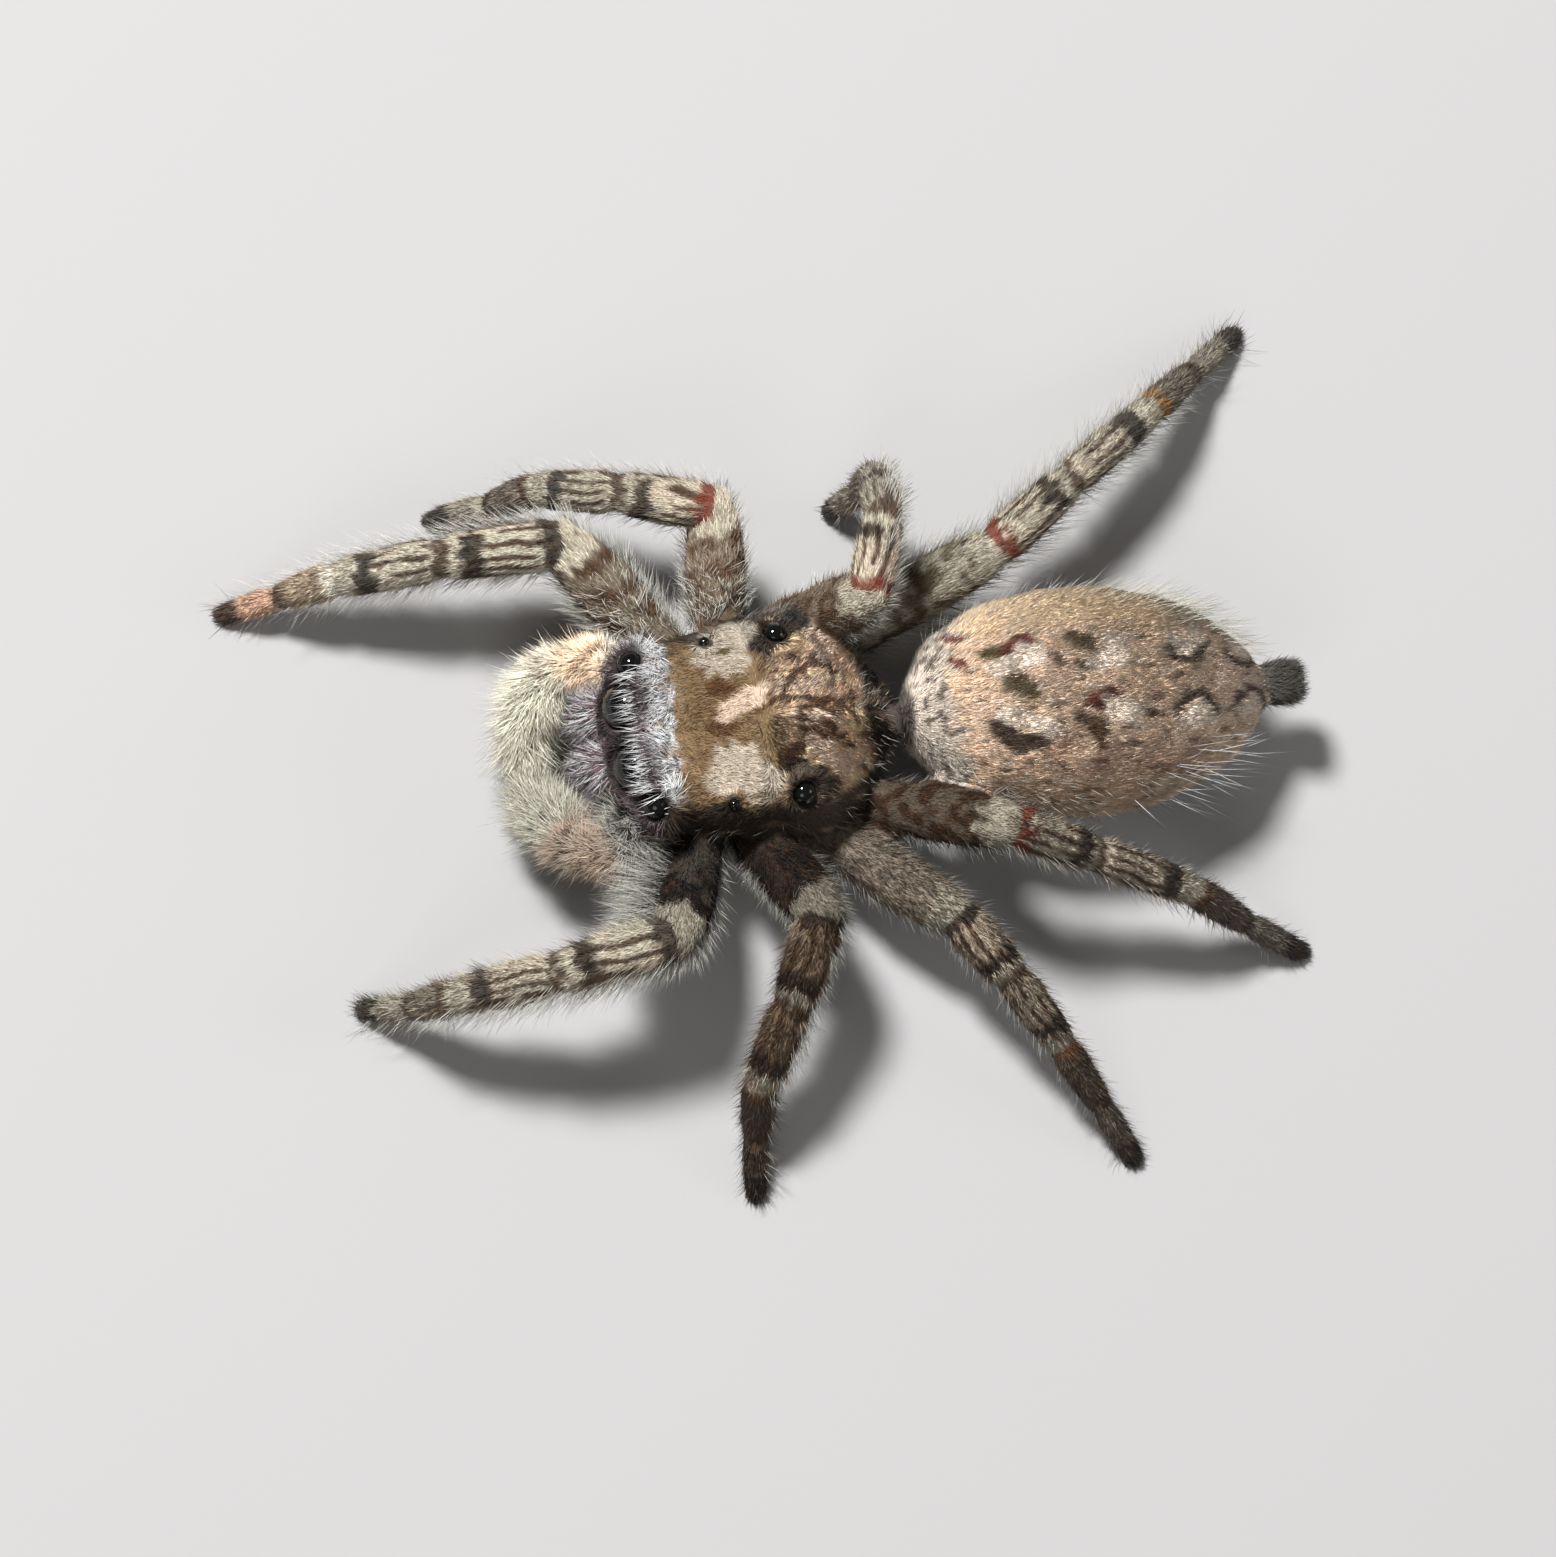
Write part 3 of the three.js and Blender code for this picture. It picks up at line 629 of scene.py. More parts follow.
def leg_colours(points, key, limb, colours):
    """Pale legs with dark lines along them, bands round them and brown undersides."""
    stretch, share, _, angle = limb.place(points)
    turned = np.abs(np.degrees(angle))
    # How dark the femur, middle and foot are: partly dark hair, partly painted shade.
    femur_shade, shade, foot_shade = SHADING[key]
    shades = {
        "cream": colours.bone * (1 - 0.35 * shade),
        "blob": colours.soot,
        "knee": colours.rust if key in RUSTY_KNEES else colours.soot,
        "ring": 0.5 * colours.brown + 0.5 * colours.soot,
        "joint": getattr(colours, JOINT_COLOURS.get(key, "brown")),
        "tip": colours.soot,
    }
    dull = 0.1 * colours.tan + 0.3 * colours.ochre
    base = np.tile(colours.bone * (1 - shade) + dull * shade, (len(points), 1))
    shank = np.isin(stretch, (PATELLA, TIBIA))
    base = lay(base, colours.pink, 0.3 * smooth(mottle(points, 0.5, 35), 0, 1) * shank)
    low = smooth(turned, 78, 100)
    base = lay(base, 0.5 * colours.pink + 0.5 * colours.brown, 0.7 * low)

    lined = shank * smooth(share, 0.02, 0.08) * (1 - smooth(share, 0.82, 0.9))
    for line in STRIPES + LOW_STRIPES:
        if line > 0 and key in PLAIN_INSIDE:
            continue
        wide = 1.6 if line in LOW_STRIPES else 1
        wander = 5 * mottle(points, 0.4, 32)
        away = np.abs(np.degrees(angle) - line + wander)
        stripe = 1 - smooth(away, 4.5 * wide, 9 * wide)
        broken = smooth(mottle(points, 0.35, 133 + line), -1.0, -0.2)
        base = lay(base, 0.5 * colours.soot + 0.5 * colours.brown, 0.92 * stripe * lined * broken)

    mottled = 0.58 + 0.22 * smooth(mottle(points * (1, 0.6, 1), 0.16, 36), -0.6, 1)
    mottled = mottled + 0.35 * femur_shade
    base = lay(base, femur_colours(points, key, colours), (stretch == FEMUR) * mottled)
    browner = 0.35 + 0.3 * smooth(mottle(points, 0.12, 37), 0, 1)
    base = lay(base, colours.brown, browner * (stretch == METATARSUS))
    base = lay(base, colours.soot, foot_shade * 0.7 * (stretch >= METATARSUS))
    if key == ("right", 1):
        streaks = smooth(mottle(points * (0.4, 1, 1), 0.12, 33), 0.2, 0.9)
        base = lay(base, 0.85 * colours.gold, 0.4 * (stretch == METATARSUS))
        base = lay(base, colours.brown, 0.45 * streaks * (stretch == METATARSUS))
        base = lay(base, 0.92 * colours.amber, 0.85 * (stretch == TARSUS))

    ragged = share + 0.028 * mottle(points, 0.12, 31)
    for number, segment in enumerate(SEGMENTS):
        weaker = 1 - 0.3 * femur_shade if number == FEMUR else 1
        for name, *band in LEG_BANDS[segment]:
            here = band_share(points, ragged, turned, band)
            base = lay(base, shades[name], 0.9 * weaker * here * (stretch == number))
    base = lay(base, colours.brown, 0.45 * smooth(mottle(points, 0.08, 34), 0.7, 1.5))
    return lay(base, colours.brown * 0.8, 0.75 * smooth(turned, 115, 145))


def palp_colours(points, side, limb, colours):
    """Straw brushes on grey stalks, with a warm joint and a pale ring."""
    stretch, share, _, _ = limb.place(points)
    along = 4 * (stretch + share) / len(limb.lengths)
    base = np.tile(colours.straw, (len(points), 1))
    if side == "left":
        base = lay(base, colours.grey, 1 - smooth(along, 1.1, 1.6))
        joint = smooth(along, 1.2, 1.4) * (1 - smooth(along, 2.5, 2.7))
        base = lay(base, 0.6 * colours.tan + 0.4 * colours.rust, 0.7 * joint)
    else:
        base = lay(base, colours.grey, 1 - smooth(along, 0.7, 1.1))
        joint = smooth(along, 0.9, 1.2) * (1 - smooth(along, 1.8, 2.1))
        base = lay(base, colours.tan, 0.75 * joint)
    ring = smooth(along, 2.1, 2.2) * (1 - smooth(along, 2.3, 2.4))
    base = lay(base, colours.cream * 1.1, 0.8 * ring)
    return lay(base, colours.brown, 0.2 * smooth(mottle(points, 0.14, 41), 0.6, 1.6))


class Palette:
    """The coat's colours as arrays."""

    def __init__(self, group):
        for name in group.bl_rna.properties.keys():
            if name not in ("rna_type", "name"):
                setattr(self, name, np.array(getattr(group, name)))


SPINNERET_TINT = (0.17, 0.16, 0.15)


def markings(points, part, limb, anatomy, colours):
    """The coat's colour at each point, which skin and hairs share."""
    found = np.tile(colours.brown, (len(points), 1)).astype(float)
    for number, paint in ((CARAPACE, carapace_colours), (ABDOMEN, abdomen_colours)):
        here = part == number
        if here.any():
            found[here] = paint(points[here], anatomy, colours)
    found[part == SPINNERET] = colours.grey * SPINNERET_TINT
    for number, (key, line) in enumerate(anatomy.legs.items()):
        here = (part == LEG) & (limb == number)
        if here.any():
            found[here] = leg_colours(points[here], key, line, colours)
    for number, (side, line) in enumerate(anatomy.palps.items()):
        here = (part == PALP) & (limb == len(anatomy.legs) + number)
        if here.any():
            found[here] = palp_colours(points[here], side, line, colours)
    return found


# ---- Meshes ----

def mesh_points(mesh):
    found = np.empty(len(mesh.vertices) * 3, np.float32)
    mesh.vertices.foreach_get("co", found)
    return found.reshape(-1, 3).astype(float)


def set_points(mesh, points):
    mesh.vertices.foreach_set("co", points.astype(np.float32).ravel())
    mesh.update()


def add_object(name, mesh, material):
    """A smooth-shaded piece in the scene, riding on the one body."""
    mesh.name = name
    mesh.materials.clear()
    mesh.materials.append(material)
    mesh.polygons.foreach_set("use_smooth", np.ones(len(mesh.polygons), bool))
    piece = bpy.data.objects.new(name, mesh)
    bpy.context.scene.collection.objects.link(piece)
    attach(piece, "root")
    return piece


def put_in_order(elements, place):
    """Sorts corners or faces by their place, because operators leave them in any order."""
    ranks = {e: rank for rank, e in enumerate(sorted(elements, key=lambda e: tuple(place(e))))}
    elements.sort(key=lambda e: ranks[e])


def finished(bm, name, material):
    """A bmesh in millimetres as a piece in metres, with its faces in the same order each run."""
    bmesh.ops.recalc_face_normals(bm, faces=bm.faces)
    put_in_order(bm.verts, lambda vertex: vertex.co)
    put_in_order(bm.faces, lambda face: face.calc_center_median())
    bmesh.ops.scale(bm, vec=(MM, MM, MM), verts=bm.verts)
    mesh = bpy.data.meshes.new(name)
    bm.to_mesh(mesh)
    bm.free()
    return add_object(name, mesh, material)


def fused(nodes, swell, cell):
    """These solids as one even mesh in millimetres, swollen so that the cuts between them close."""
    bm = bmesh.new()
    for node in nodes:
        bm.from_mesh(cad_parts[node].data)
    bmesh.ops.scale(bm, vec=(1 / MM, 1 / MM, 1 / MM), verts=bm.verts)
    bmesh.ops.remove_doubles(bm, verts=bm.verts, dist=1e-3)
    bm.normal_update()
    for vertex in bm.verts:
        vertex.co += vertex.normal * swell
    rough = bpy.data.meshes.new("rough")
    bm.to_mesh(rough)
    bm.free()
    holder = bpy.data.objects.new("rough", rough)
    bpy.context.scene.collection.objects.link(holder)
    remesh = holder.modifiers.new("even", "REMESH")
    remesh.mode = "VOXEL"
    remesh.voxel_size = cell
    depsgraph = bpy.context.evaluated_depsgraph_get()
    even = bpy.data.meshes.new_from_object(holder.evaluated_get(depsgraph))
    bpy.data.objects.remove(holder)
    bpy.data.meshes.remove(rough)
    return even


def relax(mesh, rounds):
    """Evens out a mesh."""
    bm = bmesh.new()
    bm.from_mesh(mesh)
    for _ in range(rounds):
        bmesh.ops.smooth_vert(bm, verts=bm.verts, factor=0.5, use_axis_x=True, use_axis_y=True,
                              use_axis_z=True)
    bm.to_mesh(mesh)
    bm.free()


def limb_target(limb, stretch, share, pinch):
    """How far the skin lies from a limb's line at each place. A limb without pinch is smooth."""
    start, end = limb.radii[stretch], limb.radii[stretch + 1]
    length = limb.lengths[stretch]
    waist_length, belly = 0.16, 0.05
    waist = np.exp(-((share * length / waist_length) ** 2)) * (stretch > 0)
    last = len(limb.lengths) - 1
    waist += np.exp(-(((1 - share) * length / waist_length) ** 2)) * (stretch < last)
    swell = belly * np.sin(math.pi * share) * (pinch > 0)
    femur = FEMUR_SWELL * np.sin(math.pi * share) * (stretch == FEMUR) * (pinch > 0)
    return (start + (end - start) * share) * (1 + swell - pinch * waist) + femur


def shape_limbs(points, part, limb, anatomy, sizes):
    """Moves the skin of legs and feelers onto round, jointed limbs, but not where they join it."""
    palp_root, leg_root = (0.15, 0.6), (0.7, 1.4)
    for number, line in enumerate(anatomy.limbs):
        palp = number >= len(anatomy.legs)
        here = np.flatnonzero((part == (PALP if palp else LEG)) & (limb == number))
        stretch, share, foot, _ = line.place(points[here])
        target = limb_target(line, stretch, share, 0 if palp else sizes.joint_pinch)
        along = np.cumsum([0, *line.lengths])[stretch] + share * line.lengths[stretch]
        grip = smooth(along, *(palp_root if palp else leg_root))
        out = unit(points[here] - foot)
        moved = foot + out * target[:, None]
        points[here] += (moved - points[here]) * grip[:, None]
    points[:, 2] = np.maximum(points[:, 2], 0)


def raise_rims(points, normals, part, anatomy):
    """A raised socket of skin round each eye, so that the lens sits in the head."""
    reach, rim_inner, rim_outer, well_edge = 2.6, 1.15, 2.3, 0.75  # in radii of the eye
    for kind, middle, radius in anatomy.eyes:
        offset = points - middle
        close = np.linalg.norm(offset, axis=1) < reach * radius
        near = np.flatnonzero(close & (part == CARAPACE))
        axis = unit(normals[near].mean(axis=0))
        height = offset[near] @ axis
        across = np.linalg.norm(offset[near] - height[:, None] * axis, axis=1) / radius
        rim = (1 - smooth(across, rim_inner, rim_outer)) * (height > -1.6 * radius)
        lift = np.maximum(0, RIM_HEIGHT[kind] * radius - height) * rim
        well = np.maximum(0, height + 0.2 * radius) * (1 - smooth(across, well_edge, 0.95))
        points[near] += axis * (lift * smooth(across, well_edge, 1) - well)[:, None]


DIMPLES = (2.0, 3.3, 4.5)  # places of the abdomen's pairs of dimples, back from its front


def sculpt_body(points, normals, part, anatomy):
    """The groove and rays of the thorax, and the dimples of the abdomen."""
    side, forward, _ = anatomy.head.place(points)
    groove = oval(side, forward, (0, -0.45), (0.07, 0.3), 0.6)
    rays = np.maximum(0, np.cos(7 * np.arctan2(side, -(forward + 0.4)))) ** 6
    slope = smooth(-forward, 0.1, 0.6) * smooth(np.hypot(side, forward + 0.4), 0.5, 0.8)
    rise = -(0.06 * groove + 0.025 * rays * slope) * (part == CARAPACE)
    across, back = anatomy.middle(points)
    waist_height = (anatomy.abdomen_low[2] + anatomy.abdomen_high[2]) / 2
    top = (part == ABDOMEN) & (points[:, 2] > waist_height)
    for along in DIMPLES:
        rise -= 0.05 * oval(np.abs(across), back, (0.42, along), (0.16, 0.22), 0.7) * top
    rise += 0.012 * mottle(points, 0.5, 51) * np.isin(part, (ABDOMEN, CARAPACE))
    points += normals * rise[:, None]


def point_normals(mesh):
    found = np.empty(len(mesh.vertices) * 3, np.float32)
    mesh.vertices.foreach_get("normal", found)
    return found.reshape(-1, 3).astype(float)


def unwrap(piece):
    """An unwrap of the skin's own shape, which the coat's maps share."""
    piece.data.uv_layers.new(name="OFBake")
    bpy.context.view_layer.objects.active = piece
    piece.select_set(True)
    bpy.ops.object.mode_set(mode="EDIT")
    bpy.ops.mesh.select_all(action="SELECT")
    bpy.ops.uv.smart_project(angle_limit=math.radians(66), island_margin=0.001)
    bpy.ops.object.mode_set(mode="OBJECT")
    piece.select_set(False)


def paint_points(mesh, colours):
    layer = mesh.color_attributes.new("coat_colour", "FLOAT_COLOR", "POINT")
    full = np.concatenate([colours, np.ones((len(colours), 1))], axis=1)
    layer.data.foreach_set("color", full.astype(np.float32).ravel())


# ---- Materials ----

def new_material(name, roughness, specular=0.3):
    """A material with its tree, its shader and a maker of linked nodes."""
    material = bpy.data.materials.new(name)
    material.use_nodes = True
    tree = material.node_tree
    shader = tree.nodes["Principled BSDF"]
    shader.inputs["Roughness"].default_value = roughness
    shader.inputs["Specular IOR Level"].default_value = specular
    return material, tree, shader


def object_noise(tree, scale, detail=4.0, stretch=(1, 1, 1)):
    """A noise texture on the piece's own place in space. Scale is in features for each metre."""
    coordinates = tree.nodes.new("ShaderNodeTexCoord")
    mapping = tree.nodes.new("ShaderNodeMapping")
    mapping.inputs["Scale"].default_value = stretch
    noise = tree.nodes.new("ShaderNodeTexNoise")
    noise.inputs["Scale"].default_value = scale
    noise.inputs["Detail"].default_value = detail
    tree.links.new(coordinates.outputs["Object"], mapping.inputs["Vector"])
    tree.links.new(mapping.outputs["Vector"], noise.inputs["Vector"])
    return noise


def add_bump(tree, shader, height, strength, distance):
    """Fine relief from a height."""
    bump = tree.nodes.new("ShaderNodeBump")
    bump.inputs["Strength"].default_value = strength
    bump.inputs["Distance"].default_value = distance
    tree.links.new(height, bump.inputs["Height"])
    tree.links.new(bump.outputs["Normal"], shader.inputs["Normal"])


def ranged(tree, value, low, high):
    """A noise value, most of which lies between 0.3 and 0.7, spread over low to high."""
    spread = tree.nodes.new("ShaderNodeMapRange")
    spread.inputs["From Min"].default_value = 0.3
    spread.inputs["From Max"].default_value = 0.7
    spread.inputs["To Min"].default_value = low
    spread.inputs["To Max"].default_value = high
    tree.links.new(value, spread.inputs["Value"])
    return spread.outputs["Result"]


def scaled_colour(tree, colour, factor):
    """A colour made lighter or darker by a value."""
    scale = tree.nodes.new("ShaderNodeVectorMath")
    scale.operation = "SCALE"
    tree.links.new(colour, scale.inputs[0])
    tree.links.new(factor, scale.inputs["Scale"])
    return scale.outputs["Vector"]


def coat_material(name, roughness, specular, variation, grain):
    """The coat's painted colour, broken up at the scale of single hairs."""
    material, tree, shader = new_material(name, roughness, specular)
    paint = tree.nodes.new("ShaderNodeAttribute")
    paint.attribute_name = "coat_colour"
    noise = object_noise(tree, grain)
    factor = ranged(tree, noise.outputs["Fac"], 1 - variation, 1 + variation)
    tree.links.new(scaled_colour(tree, paint.outputs["Color"], factor), shader.inputs["Base Color"])
    return material, tree, shader


def skin_material():
    """Dull skin, as rough as close fur where the coat lets it through."""
    material, tree, shader = coat_material("spider_skin", roughness=0.8, specular=0.2,
                                           variation=0.35, grain=30000)
    fine = object_noise(tree, 42000, 3.0)
    add_bump(tree, shader, fine.outputs["Fac"], strength=0.9, distance=0.03 * MM)
    return material


def hair_material():
    """Hairs with a slight silky shine."""
    material, _, shader = coat_material("spider_hair", roughness=0.6, specular=0.22,
                                        variation=0.18, grain=16000)
    shader.inputs["Sheen Weight"].default_value = 0.05
    shader.inputs["Sheen Roughness"].default_value = 0.4
    return material


def plate_material(name, colour, roughness, grain, depth, stretch=(1, 1, 1)):
    """Hard shell: darker and lighter clouding of one colour, with fine relief."""
    material, tree, shader = new_material(name, roughness, 0.5)
    cloud = object_noise(tree, 4000)
    tints = tree.nodes.new("ShaderNodeValToRGB")
    darkest, lightest = (0.35, 0.55), (0.65, 1.45)  # noise value and share of the colour
    for stop, (place, strength) in zip(tints.color_ramp.elements, (darkest, lightest)):
        stop.position = place
        stop.color = (*(c * strength for c in colour), 1)
    tree.links.new(cloud.outputs["Fac"], tints.inputs["Fac"])
    tree.links.new(tints.outputs["Color"], shader.inputs["Base Color"])
    relief = object_noise(tree, grain, 3.0, stretch)
    add_bump(tree, shader, relief.outputs["Fac"], 0.5, depth)
    return material


def eye_material():
    """A wet, glossy lens over black."""
    material = plate_material("spider_eye", linear(5, 6, 6), roughness=0.05, grain=9000,
                              depth=0.001 * MM)
    shader = material.node_tree.nodes["Principled BSDF"]
    shader.inputs["Specular IOR Level"].default_value = 0.35
    shader.inputs["Coat Weight"].default_value = 0.4
    shader.inputs["IOR"].default_value = 1.38
    shader.inputs["Coat Roughness"].default_value = 0.03
    return material


# ---- Hairs ----

def hair_pattern(bent):
    """One hair as a closed, three-sided spike, one long and one wide: its corners and faces."""
    middle = 0.5  # where a bent hair bends
    bm = bmesh.new()
    bmesh.ops.create_cone(bm, cap_ends=True, cap_tris=False, segments=3, radius1=0.5,
                          radius2=0.4 if bent else 0, depth=middle if bent else 1)
    bmesh.ops.translate(bm, vec=(0, 0, middle / 2 if bent else middle), verts=bm.verts)
    if bent:
        top = max(bm.faces, key=lambda f: f.calc_center_median().z)
        tip = bmesh.ops.poke(bm, faces=[top])["verts"]
        bmesh.ops.translate(bm, vec=(0, 0, 1 - middle), verts=tip)
    bmesh.ops.remove_doubles(bm, verts=bm.verts, dist=1e-4)
    bmesh.ops.triangulate(bm, faces=bm.faces)
    bmesh.ops.recalc_face_normals(bm, faces=bm.faces)
    places = np.array([v.co for v in bm.verts])
    faces = np.array([[v.index for v in f.verts] for f in bm.faces])
    bm.free()
    return places, faces


class Style(NamedTuple):
    """How one kind of hair grows: sizes in millimetres, lift in degrees, spread in radians."""

    length: float
    width: float
    lift: float  # off the surface at its root
    curl: float  # back towards the surface
    spread: float  # to either side of the way that the hair lies


class Hairs:
    """Roots and shapes of many hairs, in millimetres."""

    KEYS = ("root", "out", "lie", "length", "width", "lift", "curl", "colour", "uv")

    def __init__(self, *values):
        for key, value in zip(self.KEYS, values):
            setattr(self, key, value)

    def pick(self, chosen):
        return Hairs(*(getattr(self, key)[chosen] for key in self.KEYS))


PATCH = 0.003  # how much of the unwrap each hair takes on the coat's own map
GROUND = 0.001  # lowest point of hairs and claws, in millimetres


def hair_shapes(hairs, bent):
    """Points, faces, colours and unwrap places of many hairs, lifted and curled."""
    places, faces = hair_pattern(bent)
    across, thick, along = places.T
    flat, sunk = 0.55, 0.02  # thickness as a share of width, and how deep a root sits in the skin
    aside = unit(np.cross(hairs.out, hairs.lie))
    rise = np.sin(hairs.lift)[:, None] * along - hairs.curl[:, None] * along ** 2
    run = np.cos(hairs.lift)[:, None] * along
    points = (
        hairs.root[:, None]
        + hairs.lie[:, None] * (run * hairs.length[:, None])[..., None]
        + hairs.out[:, None] * (rise * hairs.length[:, None] + flat * thick * hairs.width[:, None]
                                - sunk)[..., None]
        + aside[:, None] * (across * hairs.width[:, None])[..., None]
    )
    points[..., 2] = np.maximum(points[..., 2], GROUND)
    tone = 0.72 + 0.36 * along  # darker at the root
    colour = hairs.colour[:, None] * tone[None, :, None]
    patch = np.stack([across, along - 0.5], axis=1) * PATCH
    uv = np.clip(hairs.uv[:, None] + patch, 0, 1)
    corner = (np.arange(len(hairs.root))[:, None, None] * len(places) + faces).reshape(-1)
    return points.reshape(-1, 3), corner, colour.reshape(-1, 3), uv.reshape(-1, 2)


def hair_piece(name, straight, bent):
    """Straight and bent hairs as one mesh. Either group may be None."""
    groups = ((straight, False), (bent, True))
    shapes = [hair_shapes(hairs, is_bent) for hairs, is_bent in groups if hairs]
    starts = np.cumsum([0] + [len(shape[0]) for shape in shapes])
    points, colour, uv = (np.concatenate([shape[i] for shape in shapes]) for i in (0, 2, 3))
    corner = np.concatenate([shape[1] + start for shape, start in zip(shapes, starts)])
    mesh = bpy.data.meshes.new(name)
    mesh.vertices.add(len(points))
    set_points(mesh, points * MM)
    mesh.loops.add(len(corner))
    mesh.loops.foreach_set("vertex_index", corner.astype(np.int32))
    mesh.polygons.add(len(corner) // 3)
    mesh.polygons.foreach_set("loop_start", np.arange(0, len(corner), 3, dtype=np.int32))
    mesh.update(calc_edges=True)
    paint_points(mesh, colour)
    mesh.uv_layers.new(name="OFBake").data.foreach_set("uv", uv[corner].astype(np.float32).ravel())
    piece = add_object(name, mesh, Work.hair)
    return piece


class SkinSurface:
    """The finished skin as arrays in millimetres, from which hair roots are drawn."""

    def __init__(self, piece, part, limb, anatomy):
        mesh = piece.data
        mesh.calc_loop_triangles()
        count = len(mesh.loop_triangles)
        self.points, self.normals = mesh_points(mesh) / MM, point_normals(mesh)
        corner, loops = np.empty(count * 3, np.int32), np.empty(count * 3, np.int32)
        mesh.loop_triangles.foreach_get("vertices", corner)
        mesh.loop_triangles.foreach_get("loops", loops)
        self.corner, self.loops = corner.reshape(-1, 3), loops.reshape(-1, 3)
        uv = np.empty(len(mesh.loops) * 2, np.float32)
        mesh.uv_layers["OFBake"].data.foreach_get("uv", uv)
        self.uv = uv.reshape(-1, 2)
        a, b, c = (self.points[self.corner[:, i]] for i in range(3))
        self.area = np.linalg.norm(np.cross(b - a, c - a), axis=1) / 2
        self.part, self.limb = part, limb
        self.anatomy = anatomy

    def draw(self, chosen, count, rng, weight=None):
        """Random roots on the chosen points' faces: place, normal, unwrap place, part and limb."""
        share = self.area * chosen[self.corner].all(axis=1)
        if weight is not None:
            share = share * weight[self.corner].mean(axis=1)
        face = rng.choice(len(share), count, p=share / share.sum())
        mix = rng.dirichlet((1, 1, 1), count)
        corner, loops = self.corner[face], self.loops[face]
        place = (self.points[corner] * mix[..., None]).sum(1)
        out = unit((self.normals[corner] * mix[..., None]).sum(1))
        uv = (self.uv[loops] * mix[..., None]).sum(1)
        clear = np.ones(count, bool)  # of the eyes
        for _, middle, radius in self.anatomy.eyes:
            clear &= np.linalg.norm(place - middle, axis=1) > 1.06 * radius
        found = place, out, uv, self.part[corner[:, 0]], self.limb[corner[:, 0]]
        return [values[clear] for values in found]


def lie_ways(place, part, limb, anatomy):
    """The way that the hair lies at each root, before it is laid onto the surface."""
    backward = (0.0, 1.0, 0.0)
    lie = np.tile(backward, (len(place), 1))
    side, forward, _ = anatomy.head.place(place)
    ahead = smooth(forward, 0.2, 0.7)[:, None]
    outward = np.sign(side)[:, None]
    head = ahead * (anatomy.head.forward - 0.25 * outward * anatomy.head.side)
    behind = (1 - ahead) * (0.5 * outward * anatomy.head.side - anatomy.head.forward)
    lie = np.where((part == CARAPACE)[:, None], head + behind, lie)
    for kind, middle, radius in anatomy.eyes:
        if kind != "main":
            away = place - middle
            close = 1 - smooth(np.linalg.norm(away, axis=1) / radius, 1.3, 2.2)
            lie += 3 * (close * (part == CARAPACE))[:, None] * unit(away)
    for number, line in enumerate(anatomy.limbs):
        here = np.flatnonzero((limb == number) & np.isin(part, (LEG, PALP)))
        if len(here):
            lie[here] = line.ways[line.place(place[here])[0]]
    return lie


def laid(lie, out, rng, spread):
    """Ways laid onto the surface and turned at random by about spread radians."""
    flat = unit(lie - out * (lie * out).sum(1, keepdims=True))
    turn = rng.normal(0, spread, len(lie))[:, None]
    return unit(flat * np.cos(turn) + np.cross(out, flat) * np.sin(turn))


def grow(chosen, count, seed, style, weight=None, lie=None, tint=None, surface=None):
    """Hairs on the chosen points of a surface, in the markings' colours or in one tint."""
    surface = surface or require_surface()
    anatomy = surface.anatomy
    rng = np.random.default_rng(seed)
    place, out, uv, part, limb = surface.draw(chosen, count, rng, weight)
    way = lie_ways(place, part, limb, anatomy) if lie is None else np.tile(lie, (len(place), 1))
    way = laid(way, out, rng, style.spread)
    length = style.length * rng.uniform(0.7, 1.25, len(place))
    if tint is None:
        seen = place + way * 0.4 * length[:, None]  # a hair takes the colour under its middle
        colour = markings(seen, part, limb, anatomy, Work.palette)
    else:
        colour = np.tile(tint, (len(place), 1))
    colour = colour * rng.normal(1, 0.2, (len(place), 1)).clip(0.45, 1.5)
    width = style.width * rng.uniform(0.8, 1.2, len(place))
    lift = np.radians(style.lift * rng.uniform(0.6, 1.4, len(place)))
    curl = style.curl * rng.uniform(0.6, 1.4, len(place))
    return Hairs(place, out, way, length, width, lift, curl, colour, uv)


def joined(groups):
    """Groups of hairs as one."""
    return Hairs(*(np.concatenate([getattr(g, key) for g in groups]) for key in Hairs.KEYS))


# ---- Shared state of one run ----

class Work:
    """What one operator hands to the next."""

    anatomy = None
    surface = None  # of the skin
    palette = None
    hair = None  # the material of all hairs


def require_surface():
    """The finished skin, without which no hair can grow."""
    if Work.surface is None:
        raise RuntimeError("make the skin first")
    return Work.surface


# ---- Operators ----

# How far the solids swell so that the cuts between them close, how often the skin is evened out,
# the share of the coat's depth that it sinks, and how much darker than the hairs it is.
CUT_SWELL, EVEN_ROUNDS, SINK, SKIN_TONE = 0.025, 24, 0.6, 0.72


